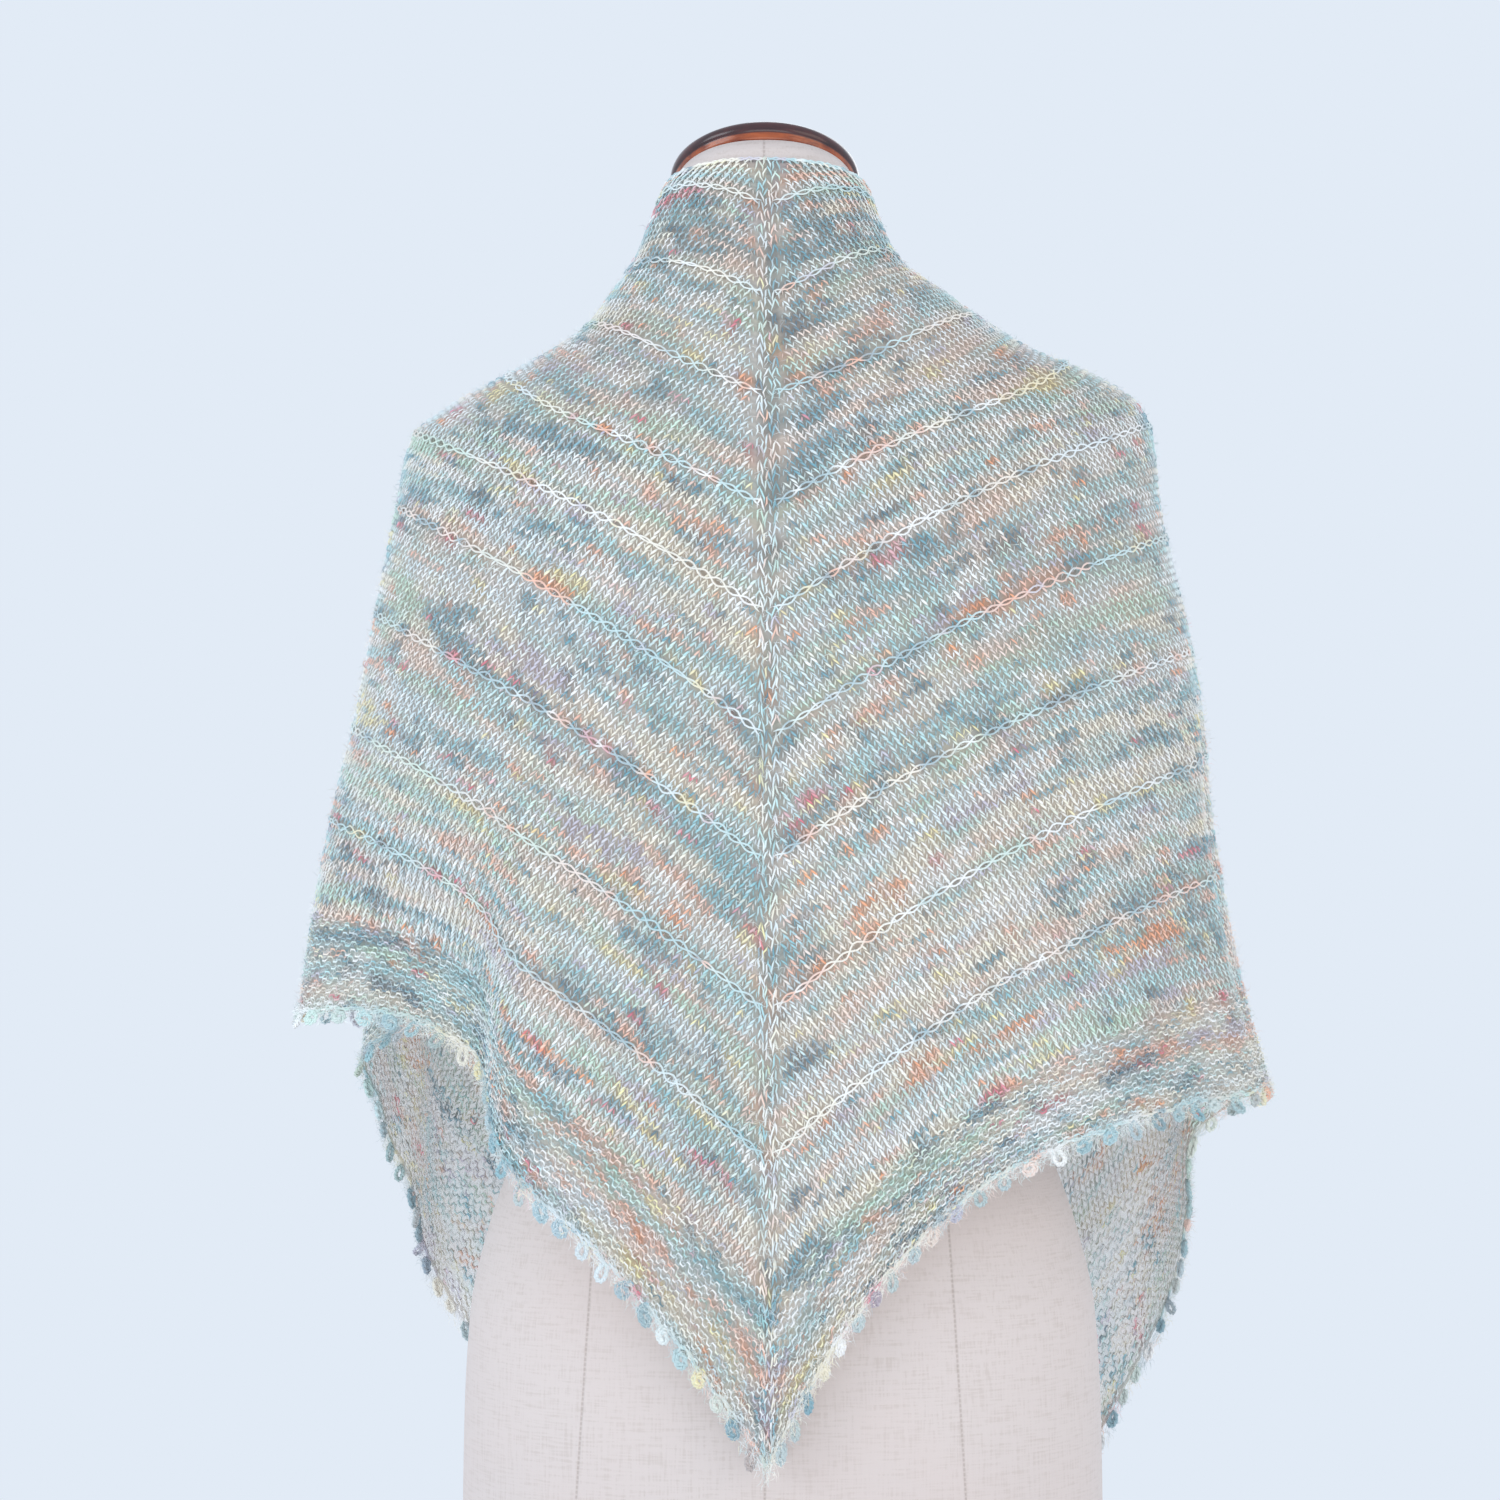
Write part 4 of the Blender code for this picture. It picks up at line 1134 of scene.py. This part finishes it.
def arcs(name, side, low, high, row_step, wave, reach, face, lifts, painted_light_tones, fading=0.0):
    """Rows of arcs that open up and down by turns, two to a wave. The rows themselves waver,
    `reach` limits the turns, `face` is 1 outside and -1 inside, and `lifts` and `painted_light_tones` are the
    heights and painted brightness of even and odd rows: the lower rows are painted darker as
    shade, and the inside arcs brighter as light, since the wrong side lies in shade. Over the
    first `fading` metres the arcs are sown more and more densely."""
    rows = np.arange(low, high, row_step / np.cos(ROW_SLOPE))
    spots = np.arange(-300, 400)
    number, spot = (x.ravel() for x in np.meshgrid(np.arange(len(rows)), spots, indexing="ij"))
    along = 0.5 * wave * (spot + 0.5 * (number % 2)) + rows[number] * np.sin(ROW_SLOPE)
    down = rows[number] + sum(a * np.sin(along / long + shift * number) for a, long, shift in WAVERS)
    keep = (along > 0.0025) & (along < edge_at(down, side) - 0.15 * wave)
    keep &= fading * rng.uniform(0, 1, len(down)) <= rows[number] - low
    number, spot, down, along = number[keep], spot[keep], down[keep], along[keep]
    turn = turn_at(down, along, side)
    keep = (turn >= reach[0]) & (turn < reach[1])
    number, spot, down, along = number[keep], spot[keep], down[keep], along[keep]
    point, row_way, column_way, out = patch(down, along, side)
    out = out * face
    if face < 0:
        point = point + out * (GROUND_SINK + GROUND_THICKNESS)
    size = 1 + 0.14 * rng.standard_normal((len(down), 1))
    opening = np.where(spot % 2 == 0, 1.0, -1.0)[:, None]
    across = ARC_ACROSS[None] * wave * size
    fall = ARC_FALL[None] * 0.24 * wave * size * opening + 0.0003 * rng.standard_normal((len(down), 1))
    high_lift = np.where(number % 2 == 0, lifts[0], lifts[1])[:, None]
    lift = np.array([0.2, 1.0, 1.0, 0.2])[None] * high_lift
    path = (point[:, None] + row_way[:, None] * across[..., None] + column_way[:, None] * fall[..., None]
            + out[:, None] * lift[..., None])
    # Painted light: odd rows, set lower, are coloured darker as shade, and the inside arcs brighter as light.
    painted_light = np.where(number % 2 == 0, painted_light_tones[0], painted_light_tones[1])[:, None]
    return yarn_bits(name, path, out, ARC_HALF, ARC_CREST, mottled(dye_at(down, along, side)) * painted_light,
                     yarn_finish if face > 0 else painted_light_inside_finish)


for side, hand in WINGS:
    arcs(f"garter_{hand}", side, BORDER_TOP, GARTER_END, GARTER_ROW, GARTER_WAVE,
                        ALL_ROUND, 1, (0.0014, 0.0004), (1.06, 0.68))
    arcs(f"garter_inside_{hand}", side, BORDER_TOP, GARTER_END, GARTER_ROW, GARTER_WAVE,
                        PAST_SIDE, -1, (0.0010, 0.0006), (1.5, 1.1))
    arcs(f"purl_inside_{hand}", side, PURL_TOP, BORDER_TOP, ROW_HEIGHT, PURL_WAVE,
                        ON_FRONT, -1, (0.0009, 0.0006), (1.5, 1.2), PURL_FADING)

# %% [markdown]
# ## Picots
#
# The bound-off edge grows a small loop of chain stitch every 14 mm. Most have curled
# up into a coil, and the others stand open. Each is a curve of two plied strands, a
# shrinking spiral or a teardrop bent out of the cloth by its own amount.

# %% Picot loops
PICOT_PITCH = 0.0140
PICOT_LONG = 0.0096
PICOT_WIDE = 0.0056
COIL_TURNS, COIL_SHRINK, COILED_SHARE = 1.7, 0.62, 0.75
STRAND, STRAND_OFF = 0.00082, 0.00066
FIRST_PICOT = 0.0048


def picot_places(side):
    """Distance along the hem of each picot: evenly spaced in the back stretch and in the front one."""
    turns = TURNS[side][int(EDGE_END / ROW_STEPS[1])]
    at_side = np.interp(SIDE_TURN, turns, ALONG_STEPS)
    places = []
    for start, end in ((FIRST_PICOT, at_side), (at_side, edge_at(EDGE_END, side))):
        number = int((end - start) // PICOT_PITCH)
        places.append(start + (np.arange(number) + 0.5) * (end - start) / number)
    return np.concatenate(places)


def picot_line(long, coiled):
    """Centre line of a picot as steps down the cloth, along the row and out of it. A coil's
    radius shrinks as it turns; an open loop falls as half a cosine and swings as a sine."""
    s = np.linspace(0.0, 1.0, 23)
    if coiled:
        theta = 2 * np.pi * COIL_TURNS * s + rng.uniform(-0.5, 0.5)
        radius = 0.44 * long * (1 - COIL_SHRINK * s)
        return 0.42 * long - radius * np.cos(theta), radius * np.sin(theta) * 1.15, 0.0007 + 0.0012 * s
    fall = (1 - np.cos(2 * np.pi * s)) / 2
    swing = np.sin(2 * np.pi * s) * (0.6 + 0.5 * fall) * PICOT_WIDE / 2
    bend = rng.uniform(0.2, 1.2)
    return long * np.sin(bend * fall) / bend, swing, 0.0004 + long * (1 - np.cos(bend * fall)) / bend


def picot_strands(side):
    """Two strands winding round the centre line of every picot."""
    along = picot_places(side)
    down = np.full(len(along), EDGE_END - 0.0012)
    point, row_way, column_way, out = patch(down, along, side)
    colour = mottled(dye_at(down, along, side), 0.4)
    tinted = rng.uniform(0, 1, len(along)) < 0.4
    colour[tinted] = 0.45 * colour[tinted] + 0.55 * ACCENT_DYES[2][1]
    strands = []
    for i in range(len(along)):
        long = PICOT_LONG * rng.uniform(0.72, 1.0)
        down_by, aside, out_by = picot_line(long, rng.uniform() < COILED_SHARE)
        skew = rng.uniform(-0.3, 0.3)
        line = (point[i] + column_way[i] * down_by[:, None] + out[i] * out_by[:, None]
                + row_way[i] * (aside + skew * down_by)[:, None])
        shade = np.repeat(colour[i][None], len(line), axis=0)
        way = unit(np.gradient(line, axis=0))
        beside = unit(np.cross(way, np.broadcast_to(out[i], way.shape)))
        wind = np.linspace(0.0, 12 * np.pi, len(line))
        for phase in (0.0, np.pi):
            ply = beside * np.cos(wind + phase)[:, None] + out[i] * np.sin(wind + phase)[:, None]
            strands.append((line + STRAND_OFF * ply, np.broadcast_to(out[i], way.shape), STRAND, shade))
    return strands


for side, hand in WINGS:
    cords(f"picots_{hand}", picot_strands(side), glow=0.1)

# %% [markdown]
# ## Mohair halo
#
# Mohair's long fibres stand off the yarn in a soft haze. Hair particles would draw
# it well, but they are not a mesh, so each fibre here is two slim triangles, bent
# at the middle. Tens of thousands of them, each finer than a pixel, blur the outline
# and veil the stitches.

# %% Halo
HALO_FIBRES = 14000
FIBRE = np.array([(0, 1, 2), (1, 3, 2)])
FIBRE_UV = np.array([(0.5, 0), (0, 0.5), (1, 0.5), (0.5, 1)])
FIBRE_HALF = 0.00010
FIBRE_LENGTHS = (0.003, 0.0085)
HEM_SHARE = 0.20
HEM_BAND = 0.006
FARTHEST = 0.70


def halo(name, side, near_turn, far_turn):
    """Fibres spread evenly over a stretch of the cloth: each leaves it at a low angle in a random
    direction, and its outer half bends another way."""
    down = EDGE_END * np.sqrt(rng.uniform(0.002, 1.0, 4 * HALO_FIBRES))
    at_hem = rng.uniform(0, 1, len(down)) < HEM_SHARE
    down = np.where(at_hem, EDGE_END + rng.uniform(-HEM_BAND, HEM_BAND, len(down)), down)
    along = rng.uniform(0.0, FARTHEST, len(down))
    turn = turn_at(down, along, side)
    keep = np.flatnonzero((along < edge_at(down, side)) & (turn >= near_turn) & (turn < far_turn))
    keep = keep[:HALO_FIBRES]
    down, along = down[keep], along[keep]
    point, row_way, column_way, out = patch(down, along, side)
    number = len(down)
    heading = rng.uniform(0, 2 * np.pi, number)[:, None]
    length = rng.uniform(*FIBRE_LENGTHS, number)[:, None]
    flat_way = row_way * np.cos(heading) + column_way * np.sin(heading)
    rise = rng.uniform(0.15, 0.95, number)[:, None]
    middle = point + out * 0.0008 + length * 0.55 * unit(flat_way + out * rise)
    turned = heading + rng.uniform(-1.2, 1.2, number)[:, None]
    tip_way = row_way * np.cos(turned) + column_way * np.sin(turned)
    tip = middle + length * 0.45 * unit(tip_way + out * rise * rng.uniform(-0.3, 1.0, number)[:, None])
    beside = unit(np.cross(flat_way, out)) * FIBRE_HALF
    root = point + out * 0.0005
    points = np.stack([root, middle - beside, middle + beside, tip], axis=1)
    faces = (np.arange(number)[:, None, None] * len(FIBRE_UV) + FIBRE[None]).reshape(-1, 3)
    colour = np.repeat(0.45 + 0.55 * dye_at(down, along, side), len(FIBRE_UV), axis=0)
    return mesh_piece(name, points, faces, yarn_finish,
                      uv=small_maps(number, FIBRE_UV, 0.1)[faces], colour=np.minimum(colour, PALEST))


for side, hand in WINGS:
    for stretch, near_turn, far_turn in STRETCHES:
        halo(f"{stretch}_halo_{hand}", side, near_turn, far_turn)
